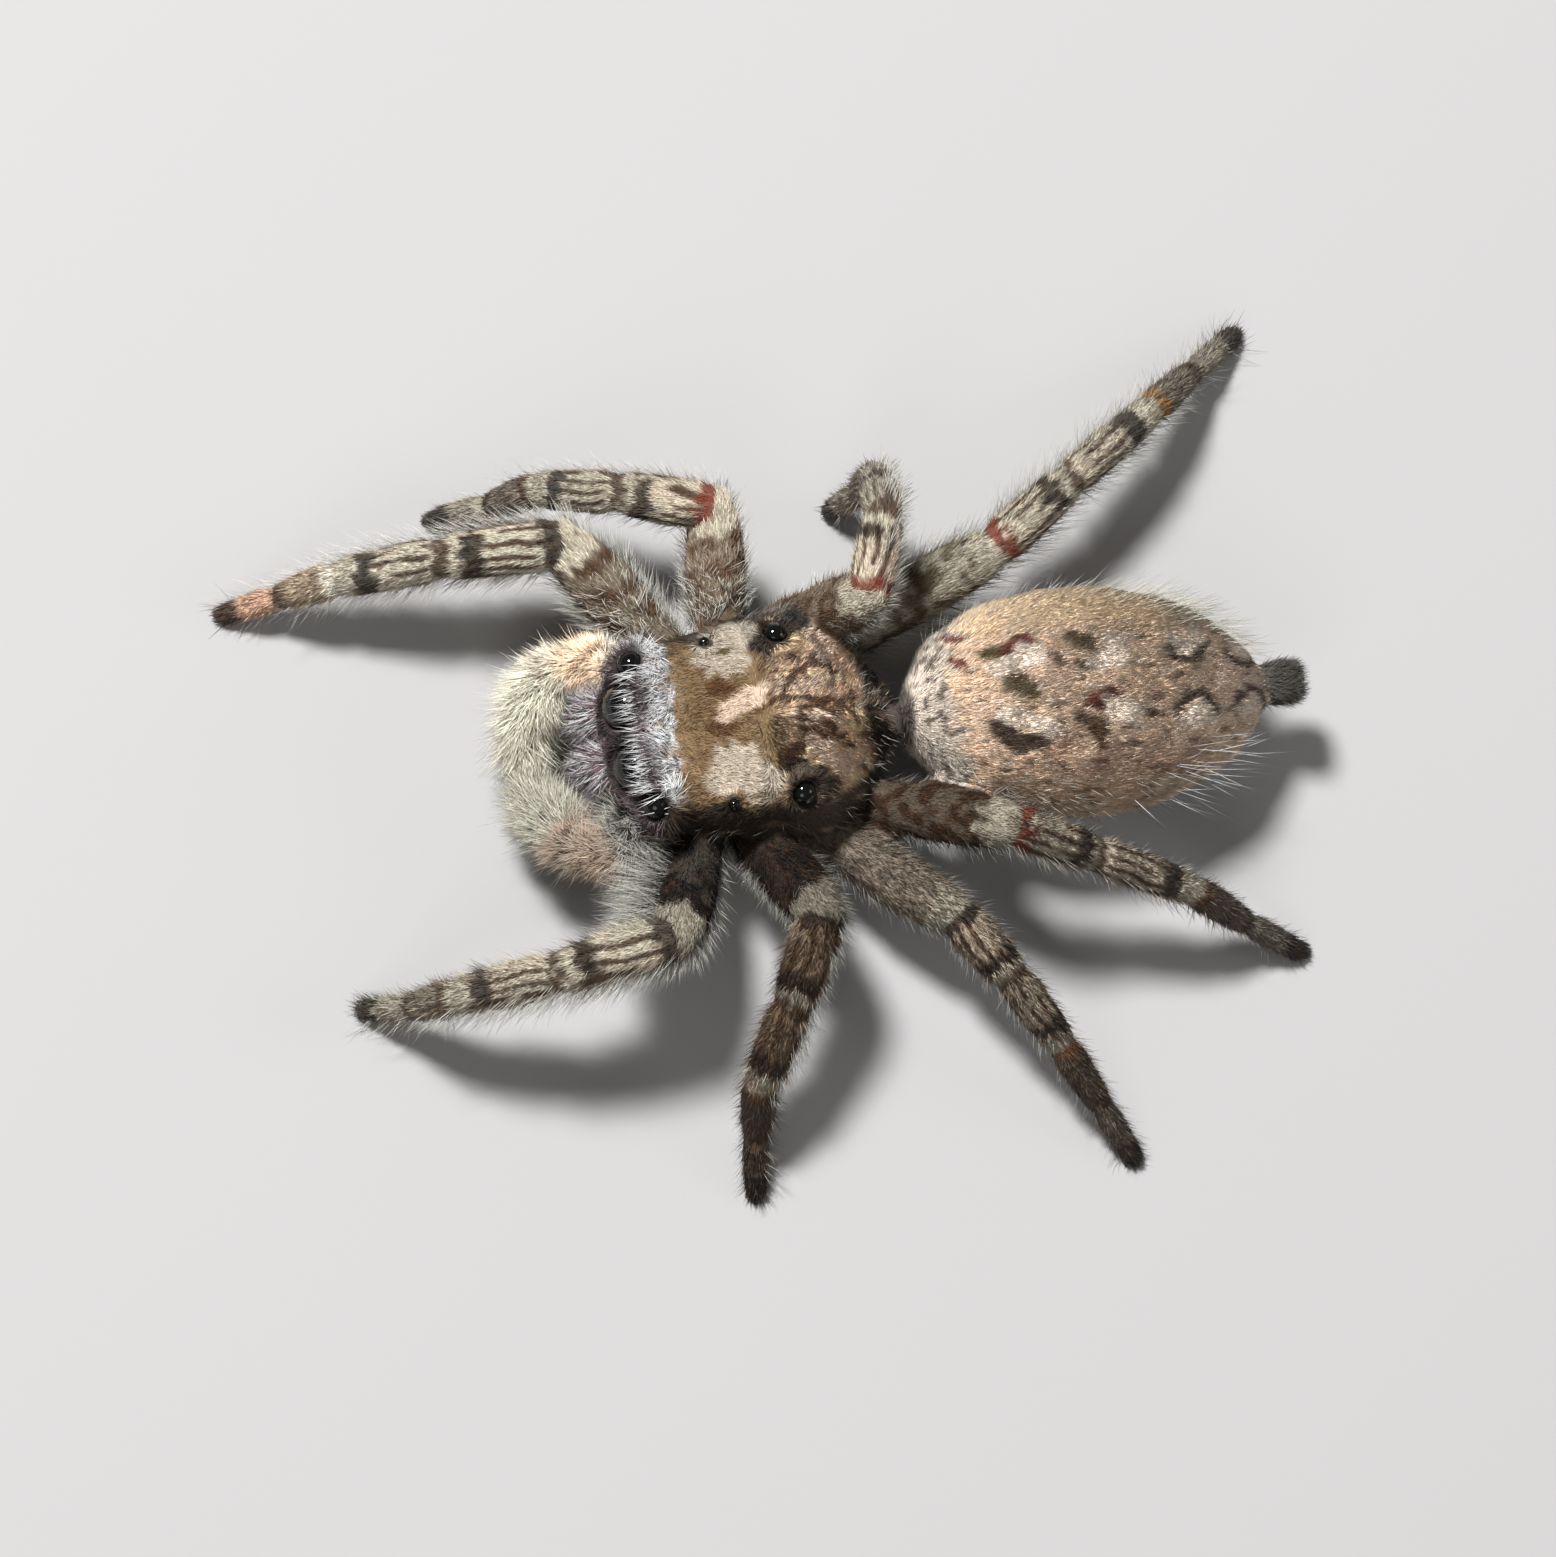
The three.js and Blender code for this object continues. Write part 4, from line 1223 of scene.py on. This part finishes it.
class SPIDER_OT_skin(bpy.types.Operator):
    """Make the one skin that stands for all the fleshy solids"""

    bl_idname = "spider.skin"
    bl_label = "Skin"

    def execute(self, context):
        sizes = context.scene.spider_skin
        Work.anatomy = anatomy = Anatomy()
        Work.palette = Palette(context.scene.spider_colours)
        Work.hair = hair_material()
        mesh = fused(FLESH, CUT_SWELL, sizes.cell / MM)
        part, limb = anatomy.parts(mesh_points(mesh))
        relax(mesh, EVEN_ROUNDS)
        points = mesh_points(mesh)
        depth = np.where(part == PALP, 0, sizes.coat_depth / MM * SINK)
        points -= point_normals(mesh) * depth[:, None]
        shape_limbs(points, part, limb, anatomy, sizes)
        sculpt_body(points, point_normals(mesh), part, anatomy)
        raise_rims(points, point_normals(mesh), part, anatomy)
        set_points(mesh, points)
        relax(mesh, 2)
        points = mesh_points(mesh)
        points[:, 2] = np.maximum(points[:, 2], 0)
        set_points(mesh, points * MM)
        paint_points(mesh, SKIN_TONE * markings(points, part, limb, anatomy, Work.palette))
        piece = add_object("skin", mesh, skin_material())
        unwrap(piece)
        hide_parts(*FLESH)
        Work.surface = SkinSurface(piece, part, limb, anatomy)
        return {"FINISHED"}


# Kinds of hair that differ from the short coat: length, width, lift, curl and spread.
SPOT_TUFT = Style(0.2, 0.045, 14, 0.03, 0.14)
TAIL_HAIR = Style(0.32, 0.015, 28, 0.1, 0.4)
FOOT_HAIR = Style(0.24, 0.018, 30, 0.1, 0.2)
HIP_FLUFF = Style(0.4, 0.015, 42, 0.15, 0.5)
FRONT_FLUFF = Style(0.95, 0.013, 58, 0.05, 0.5)
SPOT_TUFTS = 2400


class SPIDER_OT_body_coat(bpy.types.Operator):
    """Grow the short coat of the abdomen, carapace and underside"""

    bl_idname = "spider.body_coat"
    bl_label = "Body coat"

    def execute(self, context):
        surface, coat, colours = require_surface(), context.scene.spider_coat, Work.palette
        length, width = coat.length / MM, coat.width / MM
        top = 0.2 + smooth(surface.normals[:, 2], -0.5, 0.2)  # the coat is thinner below
        abdomen = surface.part == ABDOMEN
        hairs = grow(abdomen, coat.abdomen_hairs, 101, Style(length, width, 14, 0.0, 0.28), top)
        front = hairs.root[:, 1] < np.median(hairs.root[:, 1])
        spots = abdomen * pale_spots(surface.points, surface.anatomy)
        tufts = grow(abdomen, SPOT_TUFTS, 105, SPOT_TUFT, spots,
                     tint=0.65 * colours.chalk + 0.75 * colours.pink)
        hair_piece("coat_abdomen_front", hairs.pick(front), tufts)
        hair_piece("coat_abdomen_rear", hairs.pick(~front), None)
        hairs = grow(surface.part == CARAPACE, coat.carapace_hairs, 102,
                     Style(0.85 * length, width, 15, 0.0, 0.32), top)
        hair_piece("coat_carapace", hairs, None)
        under = grow(surface.part == UNDERSIDE, coat.underside_hairs, 103,
                     Style(0.8 * length, width, 18, 0.0, 0.3))
        tail = grow(surface.part == SPINNERET, coat.underside_hairs // 3, 104, TAIL_HAIR)
        hair_piece("coat_underside", under, tail)
        return {"FINISHED"}


# Long hairs of each leg: how many for each one in the settings, their length, their lift.
FRINGES = {
    ("left", 1): (1.7, 0.6, 44), ("left", 2): (1.8, 0.42, 52), ("left", 3): (0.8, 0.42, 45),
    ("left", 4): (0.8, 0.42, 45), ("right", 1): (1.7, 0.6, 42), ("right", 2): (0.9, 0.45, 45),
    ("right", 3): (0.8, 0.42, 45), ("right", 4): (1.7, 0.64, 42),
}
# Short fluff that stands off some legs, most on their inner side: how many hairs, their length.
FLUFF = {
    ("left", 1): (2600, 0.3), ("left", 2): (1800, 0.34), ("left", 3): (1500, 0.28),
    ("left", 4): (1000, 0.26), ("right", 3): (1000, 0.26), ("right", 4): (1200, 0.28),
}
FLUFFY_HIPS = {("right", 1): 900, ("right", 2): 900}  # how many hairs
FLUFFY_FRONTS = {("left", 1): 1200}


class SPIDER_OT_leg_coat(bpy.types.Operator):
    """Grow the short coat and the fringes of the legs"""

    bl_idname = "spider.leg_coat"
    bl_label = "Leg coat"

    def execute(self, context):
        surface, coat = require_surface(), context.scene.spider_coat
        short = Style(0.8 * (coat.length / MM), coat.width / MM, 14, 0.0, 0.2)
        for number, key in enumerate(surface.anatomy.legs):
            here = (surface.part == LEG) & (surface.limb == number)
            hairs = grow(here, coat.leg_hairs, 200 + number, short)
            if key in FLUFF:
                count, length = FLUFF[key]
                inner = here * (0.25 + smooth(-surface.normals[:, 0], -0.1, 0.5))
                fluff = grow(here, count, 280 + number, Style(length, 0.018, 36, 0.0, 0.3), inner)
                hairs = joined([hairs, fluff])
            long_hairs = self.long_hairs(here, number, key, coat.fringe_hairs)
            hair_piece(f"coat_leg_{key[0]}_{key[1]}", hairs, long_hairs)
        return {"FINISHED"}

    def long_hairs(self, here, number, key, fringe_hairs):
        """Longer pale hairs below a leg and about its foot, and the fluff over some hips."""
        surface, grey = require_surface(), Work.palette.grey
        places = np.flatnonzero(here)
        stretch, share, _, angle = surface.anatomy.limbs[number].place(surface.points[places])

        def at_places(values):
            found = np.zeros(len(surface.points))
            found[places] = values
            return found

        share_of, length, lift = FRINGES[key]
        low = smooth(np.abs(np.degrees(angle)), 70, 105)
        # The fringe's grey is darkened with the leg's foot value from SHADING, which is partly
        # painted shade.
        groups = [grow(here, int(fringe_hairs * share_of), 300 + number,
                       Style(length, 0.014, lift, 0.15, 0.25),
                       at_places(low * np.choose(stretch, (0.8, 1, 1, 0.5, 0.25))),
                       tint=grey * (1 - 0.5 * SHADING[key][2]))]
        groups.append(grow(here, fringe_hairs // 4, 320 + number, FOOT_HAIR,
                           at_places(stretch >= METATARSUS)))
        if key in FLUFFY_HIPS:
            hip = (stretch == FEMUR) * (1 - smooth(share, 0.35, 0.8))
            groups.append(grow(here, FLUFFY_HIPS[key], 340 + number, HIP_FLUFF, at_places(hip),
                               tint=grey))
        if key in FLUFFY_FRONTS:
            side_on = surface.normals[places, 2] < 0.45
            front = at_places((stretch == FEMUR) * smooth(share, 0.3, 0.5) * side_on)
            front *= smooth(-surface.normals[:, 1], 0.1, 0.5)
            groups.append(grow(here, FLUFFY_FRONTS[key], 360, FRONT_FLUFF, front,
                               lie=(0.2, -1, -0.2), tint=0.85 * grey))
        return joined(groups)


# Hairs of the feelers' brushes and the stiffer ones between them.
BRUSH = Style(0.62, 0.015, 48, 0.16, 0.55)
BRUSH_SPIKE = Style(0.75, 0.017, 62, 0.03, 0.5)
BRUSH_SPIKES = 420
# Painted light and shade on the feelers' brushes: the left one is darkened for the head's shade,
# the right one lightened for the light that falls on it.
PALP_PAINTED_LIGHT = {"left": 0.7, "right": 1.25}  # the left one lies in the head's shade


class SPIDER_OT_palp_coat(bpy.types.Operator):
    """Grow the brushes of the two feelers"""

    bl_idname = "spider.palp_coat"
    bl_label = "Feeler brushes"

    def execute(self, context):
        surface, coat = require_surface(), context.scene.spider_coat
        for number, side in enumerate(SIDES):
            here = (surface.part == PALP) & (surface.limb == len(surface.anatomy.legs) + number)
            clumps = here * (0.2 + smooth(mottle(surface.points, 0.2, 62), -0.5, 0.8))
            hairs = joined([grow(here, coat.palp_hairs, 400 + number, BRUSH, clumps),
                            grow(here, BRUSH_SPIKES, 410 + number, BRUSH_SPIKE)])
            limb = surface.anatomy.palps[side]
            stretch, share, _, _ = limb.place(hairs.root)
            along = (stretch + share) / len(limb.lengths)
            shaggy_root = 0.6 * (side == "left") * (along < 0.3)
            hairs.length *= 0.62 + 0.38 * smooth(along, 0.35, 0.65) + shaggy_root
            # Painted light and shade of each brush.
            hairs.colour *= PALP_PAINTED_LIGHT[side]
            hair_piece(f"coat_palp_{side}", None, hairs)
        return {"FINISHED"}


# Hairs of the face and the long bristles.
BROW = Style(0.42, 0.022, 30, 0.14, 0.28)
EAVES = Style(0.55, 0.02, 24, 0.3, 0.22)
BEARD = Style(0.6, 0.02, 28, 0.05, 0.3)
MOUSTACHE = Style(0.46, 0.016, 24, 0.05, 0.35)
FUZZ = Style(0.72, 0.011, 34, 0.06, 0.3)
ROD = Style(1.05, 0.017, 42, 0.02, 0.3)
HAZE = Style(0.42, 0.012, 36, 0.05, 0.4)
LASH = Style(0.5, 0.018, 55, 0.05, 0.5)
THORAX_BRISTLE = Style(0.36, 0.016, 45, 0.05, 0.6)
FLANK_BRISTLE = Style(0.32, 0.016, 35, 0.05, 0.5)


class SPIDER_OT_face_coat(bpy.types.Operator):
    """Grow the white brow, the beard over the jaws and the long bristles"""

    bl_idname = "spider.face_coat"
    bl_label = "Brow, beard and bristles"

    def execute(self, context):
        surface, white = require_surface(), Work.palette.white
        head = surface.anatomy.head
        side, forward, up = head.place(surface.points)
        carapace = surface.part == CARAPACE
        brow = carapace & (forward - 0.1 * side > 1.8) & (forward < 2.3) & (up > -0.35)
        clumps = 0.15 + smooth(mottle(surface.points, 0.22, 61), -0.6, 0.9)
        fringe = grow(brow, 3000, 501, BROW, clumps)
        eaves = carapace & (forward > 2.1) & (forward < 2.36) & (up > -0.45) & (np.abs(side) < 1.35)
        over = grow(eaves, 900, 503, EAVES, clumps, lie=head.forward - 0.1 * head.up, tint=white)
        beard = carapace & (forward > 2.2) & (up < -0.7)
        hanging = head.forward * 0.5 - head.up
        veil = grow(beard, 1300, 502, BEARD, lie=hanging, tint=0.9 * white)
        hair_piece("brow_and_beard", None, joined([fringe, over, veil]))
        hair_piece("bristles", None, self.bristles(surface))
        return {"FINISHED"}

    def bristles(self, surface):
        """Long sparse bristles on abdomen and carapace, and the dark lashes about the eyes."""
        colours = Work.palette
        across, back = surface.anatomy.middle(surface.points)
        back = back / (surface.anatomy.abdomen_high[1] - surface.anatomy.abdomen_low[1])
        _, forward, up = surface.anatomy.head.place(surface.points)
        abdomen, carapace = surface.part == ABDOMEN, surface.part == CARAPACE
        low_down = 1 - smooth(surface.normals[:, 2], 0.45, 0.8)
        rear_right = smooth(-across, 0.5, 0.9) * smooth(back, 0.5, 0.75) * low_down
        rear_left = smooth(across, 0.7, 1.0) * smooth(back, 0.6, 0.75) * low_down
        flanks = smooth(np.abs(across), 0.6, 1.1) * low_down
        eyebrow = carapace & (forward > 1.9) & (up > -0.3)
        return joined([
            grow(abdomen, 700, 511, FUZZ, rear_right, tint=0.75 * colours.straw),
            grow(abdomen, 60, 515, ROD, rear_left, tint=0.8 * colours.white),
            grow(abdomen, 500, 516, HAZE, flanks, tint=0.8 * colours.grey),
            grow(eyebrow, 50, 513, LASH, tint=colours.soot),
            grow(carapace & (up > -0.6), 120, 514, THORAX_BRISTLE, tint=0.8 * colours.brown),
            grow(carapace & (up < -0.5), 350, 517, FLANK_BRISTLE, tint=0.45 * colours.grey),
        ])


class SPIDER_OT_eyes(bpy.types.Operator):
    """Make the eight round, glossy eyes"""

    bl_idname = "spider.eyes"
    bl_label = "Eyes"

    def execute(self, context):
        gloss = eye_material()
        surface = require_surface()
        for kind in EYE_KINDS:
            for side in SIDES:
                node = f"eye_{kind}_{side}"
                middle, radius = eye_place(node)
                near = np.linalg.norm(surface.points - middle, axis=1) < 2.4 * radius
                socket = near & (surface.part == CARAPACE)
                axis = unit(surface.normals[socket].mean(axis=0))
                piece = self.lens(f"lens_{kind}_{side}", middle, radius, axis, gloss)
                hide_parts(node)
        return {"FINISHED"}

    def lens(self, name, middle, radius, axis, gloss):
        """A domed lens with a shallow groove where it meets its socket, and a flatter back."""
        bm = bmesh.new()
        bmesh.ops.create_uvsphere(bm, u_segments=48, v_segments=32, radius=radius)
        groove_at, groove_wide, groove_deep, back_depth = 0.32, 0.09, 0.05, 0.85
        for vertex in bm.verts:
            height = vertex.co.z / radius
            if height < 0:
                vertex.co.z *= back_depth
            vertex.co *= 1 - groove_deep * math.exp(-(((height - groove_at) / groove_wide) ** 2))
        turn = Vector((0, 0, 1)).rotation_difference(Vector(axis)).to_matrix().to_4x4()
        bmesh.ops.transform(bm, matrix=Matrix.Translation(middle) @ turn, verts=bm.verts)
        return finished(bm, name, gloss)


class SPIDER_OT_jaws(bpy.types.Operator):
    """Make the chelicerae and the fangs"""

    bl_idname = "spider.jaws"
    bl_label = "Jaws"

    def execute(self, context):
        hairs = []
        shell = plate_material("spider_jaw", linear(126, 100, 108), roughness=0.42, grain=14000,
                               depth=0.012 * MM, stretch=(0.3, 0.3, 1))
        dark = plate_material("spider_fang", linear(46, 20, 14), roughness=0.2, grain=12000,
                              depth=0.004 * MM)
        for side in SIDES:
            for node, finish, slot, cell in ((f"chelicera_{side}", shell, "chelicerae", 0.035),
                                             (f"fang_{side}", dark, "fangs", 0.016)):
                mesh = fused([node], swell=0, cell=cell)
                relax(mesh, rounds=8)
                set_points(mesh, mesh_points(mesh) * MM)
                piece = add_object("jaw_" + node, mesh, finish)
                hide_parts(node)
                if slot == "chelicerae":
                    hairs.append(self.moustache(piece, len(hairs)))
        hair_piece("moustache", None, joined(hairs))
        return {"FINISHED"}

    def moustache(self, piece, number):
        """White and mauve hairs that hang over the front of a jaw."""
        unwrap(piece)
        count = len(piece.data.vertices)
        head, colours = Work.anatomy.head, Work.palette
        surface = SkinSurface(piece, np.full(count, JAW), np.full(count, -1), Work.anatomy)
        front = smooth(surface.normals @ unit(head.forward + 0.6 * head.up), 0.0, 0.6)
        groups = [grow(np.ones(count, bool), hairs, seed + number, MOUSTACHE, front,
                       lie=0.4 * head.forward - head.up, tint=tint, surface=surface)
                  for hairs, seed, tint in ((340, 521, 0.95 * colours.white),
                                            (260, 523, colours.mauve))]
        return joined(groups)


class SPIDER_OT_claws(bpy.types.Operator):
    """Make the two small claws at the tip of each foot"""

    bl_idname = "spider.claws"
    bl_label = "Claws"

    def execute(self, context):
        dark = plate_material("spider_claw", linear(34, 22, 16), roughness=0.3, grain=12000,
                              depth=0.004 * MM)
        for (side, pair), limb in Work.anatomy.legs.items():
            way, up, aside = limb.ways[-1], limb.ups[-1], limb.asides[-1]
            tip = limb.joints[-1] + way * 0.13 + up * 0.05
            bm = bmesh.new()
            for across in (-1, 1):
                self.claw(bm, tip + aside * 0.05 * across, way, up)
            for vertex in bm.verts:
                vertex.co.z = max(vertex.co.z, GROUND)
            piece = finished(bm, f"claws_{side}_{pair}", dark)
        return {"FINISHED"}

    def claw(self, bm, root, way, up):
        """A hook that runs forward and bends down, narrowing to its tip."""
        steps, size, bend = 5, 0.034, math.radians(22)
        ring = bmesh.ops.create_circle(bm, cap_ends=True, segments=6, radius=size * 0.5)["verts"]
        turn = Vector((0, 0, 1)).rotation_difference(Vector(way)).to_matrix().to_4x4()
        bmesh.ops.transform(bm, matrix=Matrix.Translation(root) @ turn, verts=ring)
        face = ring[0].link_faces[0]
        heading, hinge = Vector(way), Vector(np.cross(up, way))
        for step in range(steps):
            made = bmesh.ops.extrude_face_region(bm, geom=[face])["geom"]
            ring = [g for g in made if isinstance(g, bmesh.types.BMVert)]
            face = next(g for g in made if isinstance(g, bmesh.types.BMFace))
            heading = Matrix.Rotation(bend, 3, hinge) @ heading
            bmesh.ops.translate(bm, vec=heading * size, verts=ring)
            middle = sum((v.co for v in ring), Vector()) / len(ring)
            narrow = 0.78 if step < steps - 1 else 0.3
            bmesh.ops.scale(bm, vec=(narrow,) * 3, space=Matrix.Translation(-middle), verts=ring)


# Name, way from the spider, width in millimetres and power of each light.
LIGHTS = (("key", (-0.51, -0.39, 1.0), 56, 1.82), ("fill", (0.8, -0.5, 0.9), 160, 0.15),
          ("rim", (0.1, 1.0, 0.6), 120, 0.1))
LIGHT_DISTANCE = 300 * MM
STUDIO_COLOUR, STUDIO_STRENGTH = (1.0, 0.985, 0.96, 1), 0.17
FLOOR_COLOUR, FLOOR_HALF = (0.37, 0.362, 0.362, 1), 400
SENSOR = 36  # the camera's width, in the editor's usual millimetres


class SPIDER_OT_stage(bpy.types.Operator):
    """Set the floor, the lights and the camera"""

    bl_idname = "spider.stage"
    bl_label = "Stage"

    def execute(self, context):
        self.camera(context)
        self.lights(context)
        self.floor()
        context.scene.view_settings.view_transform = "Standard"
        return {"FINISHED"}

    def camera(self, context):
        stage = context.scene.spider_stage
        azimuth, elevation = stage.azimuth, stage.elevation
        back = Vector((math.sin(azimuth) * math.cos(elevation),
                       -math.cos(azimuth) * math.cos(elevation), math.sin(elevation)))
        aim = Vector(stage.aim)
        data = bpy.data.cameras.new("camera")
        data.sensor_width = SENSOR
        data.lens = SENSOR * stage.distance / stage.field
        data.clip_start = 0.01
        camera = bpy.data.objects.new("camera", data)
        camera.rotation_mode = "QUATERNION"
        roll = Matrix.Rotation(-stage.roll, 3, "Z").to_quaternion()
        camera.rotation_quaternion = (-back).to_track_quat("-Z", "Y") @ roll
        camera.location = aim + back * stage.distance
        context.scene.collection.objects.link(camera)
        context.scene.camera = camera

    def lights(self, context):
        for name, way, size, power in LIGHTS:
            data = bpy.data.lights.new(name, "AREA")
            data.shape = "DISK"
            data.size = size * MM
            data.energy = power
            light = bpy.data.objects.new(name, data)
            light.location = Vector(way).normalized() * LIGHT_DISTANCE
            light.rotation_mode = "QUATERNION"
            light.rotation_quaternion = Vector(way).to_track_quat("Z", "Y")
            context.scene.collection.objects.link(light)
        world = bpy.data.worlds.new("studio")
        world.use_nodes = True
        background = world.node_tree.nodes["Background"]
        background.inputs["Color"].default_value = STUDIO_COLOUR
        background.inputs["Strength"].default_value = STUDIO_STRENGTH
        context.scene.world = world

    def floor(self):
        bm = bmesh.new()
        bmesh.ops.create_grid(bm, x_segments=1, y_segments=1, size=FLOOR_HALF)
        bmesh.ops.scale(bm, vec=(MM, MM, MM), verts=bm.verts)
        mesh = bpy.data.meshes.new("floor")
        bm.to_mesh(mesh)
        bm.free()
        material, _, shader = new_material("floor", roughness=0.9, specular=0.2)
        shader.inputs["Base Color"].default_value = FLOOR_COLOUR
        mesh.materials.append(material)
        floor = bpy.data.objects.new("floor", mesh)
        bpy.context.scene.collection.objects.link(floor)


class SPIDER_PT_panel(bpy.types.Panel):
    """The spider's steps and sizes"""

    bl_idname = "SPIDER_PT_panel"
    bl_label = "Jumping spider"
    bl_space_type = "VIEW_3D"
    bl_region_type = "UI"
    bl_category = "Spider"

    def draw(self, context):
        for operator in OPERATORS:
            self.layout.operator(operator.bl_idname)
        for name in GROUPS:
            group = getattr(context.scene, name)
            for key in group.bl_rna.properties.keys():
                if key not in ("rna_type", "name"):
                    self.layout.prop(group, key)


OPERATORS = (SPIDER_OT_stage, SPIDER_OT_skin, SPIDER_OT_body_coat, SPIDER_OT_leg_coat,
             SPIDER_OT_palp_coat, SPIDER_OT_face_coat, SPIDER_OT_eyes, SPIDER_OT_jaws,
             SPIDER_OT_claws)
GROUPS = {"spider_skin": SpiderSkin, "spider_coat": SpiderCoat, "spider_colours": SpiderColours,
          "spider_stage": SpiderStage}


def register():
    for group in GROUPS.values():
        bpy.utils.register_class(group)
    for name, group in GROUPS.items():
        setattr(bpy.types.Scene, name, PointerProperty(type=group))
    for operator in OPERATORS:
        bpy.utils.register_class(operator)
    bpy.utils.register_class(SPIDER_PT_panel)


def unregister():
    bpy.utils.unregister_class(SPIDER_PT_panel)
    for operator in reversed(OPERATORS):
        bpy.utils.unregister_class(operator)
    for name, group in GROUPS.items():
        delattr(bpy.types.Scene, name)
        bpy.utils.unregister_class(group)


def main():
    register()
    for operator in OPERATORS:
        family, name = operator.bl_idname.split(".")
        getattr(getattr(bpy.ops, family), name)()


if __name__ == "__main__":
    main()
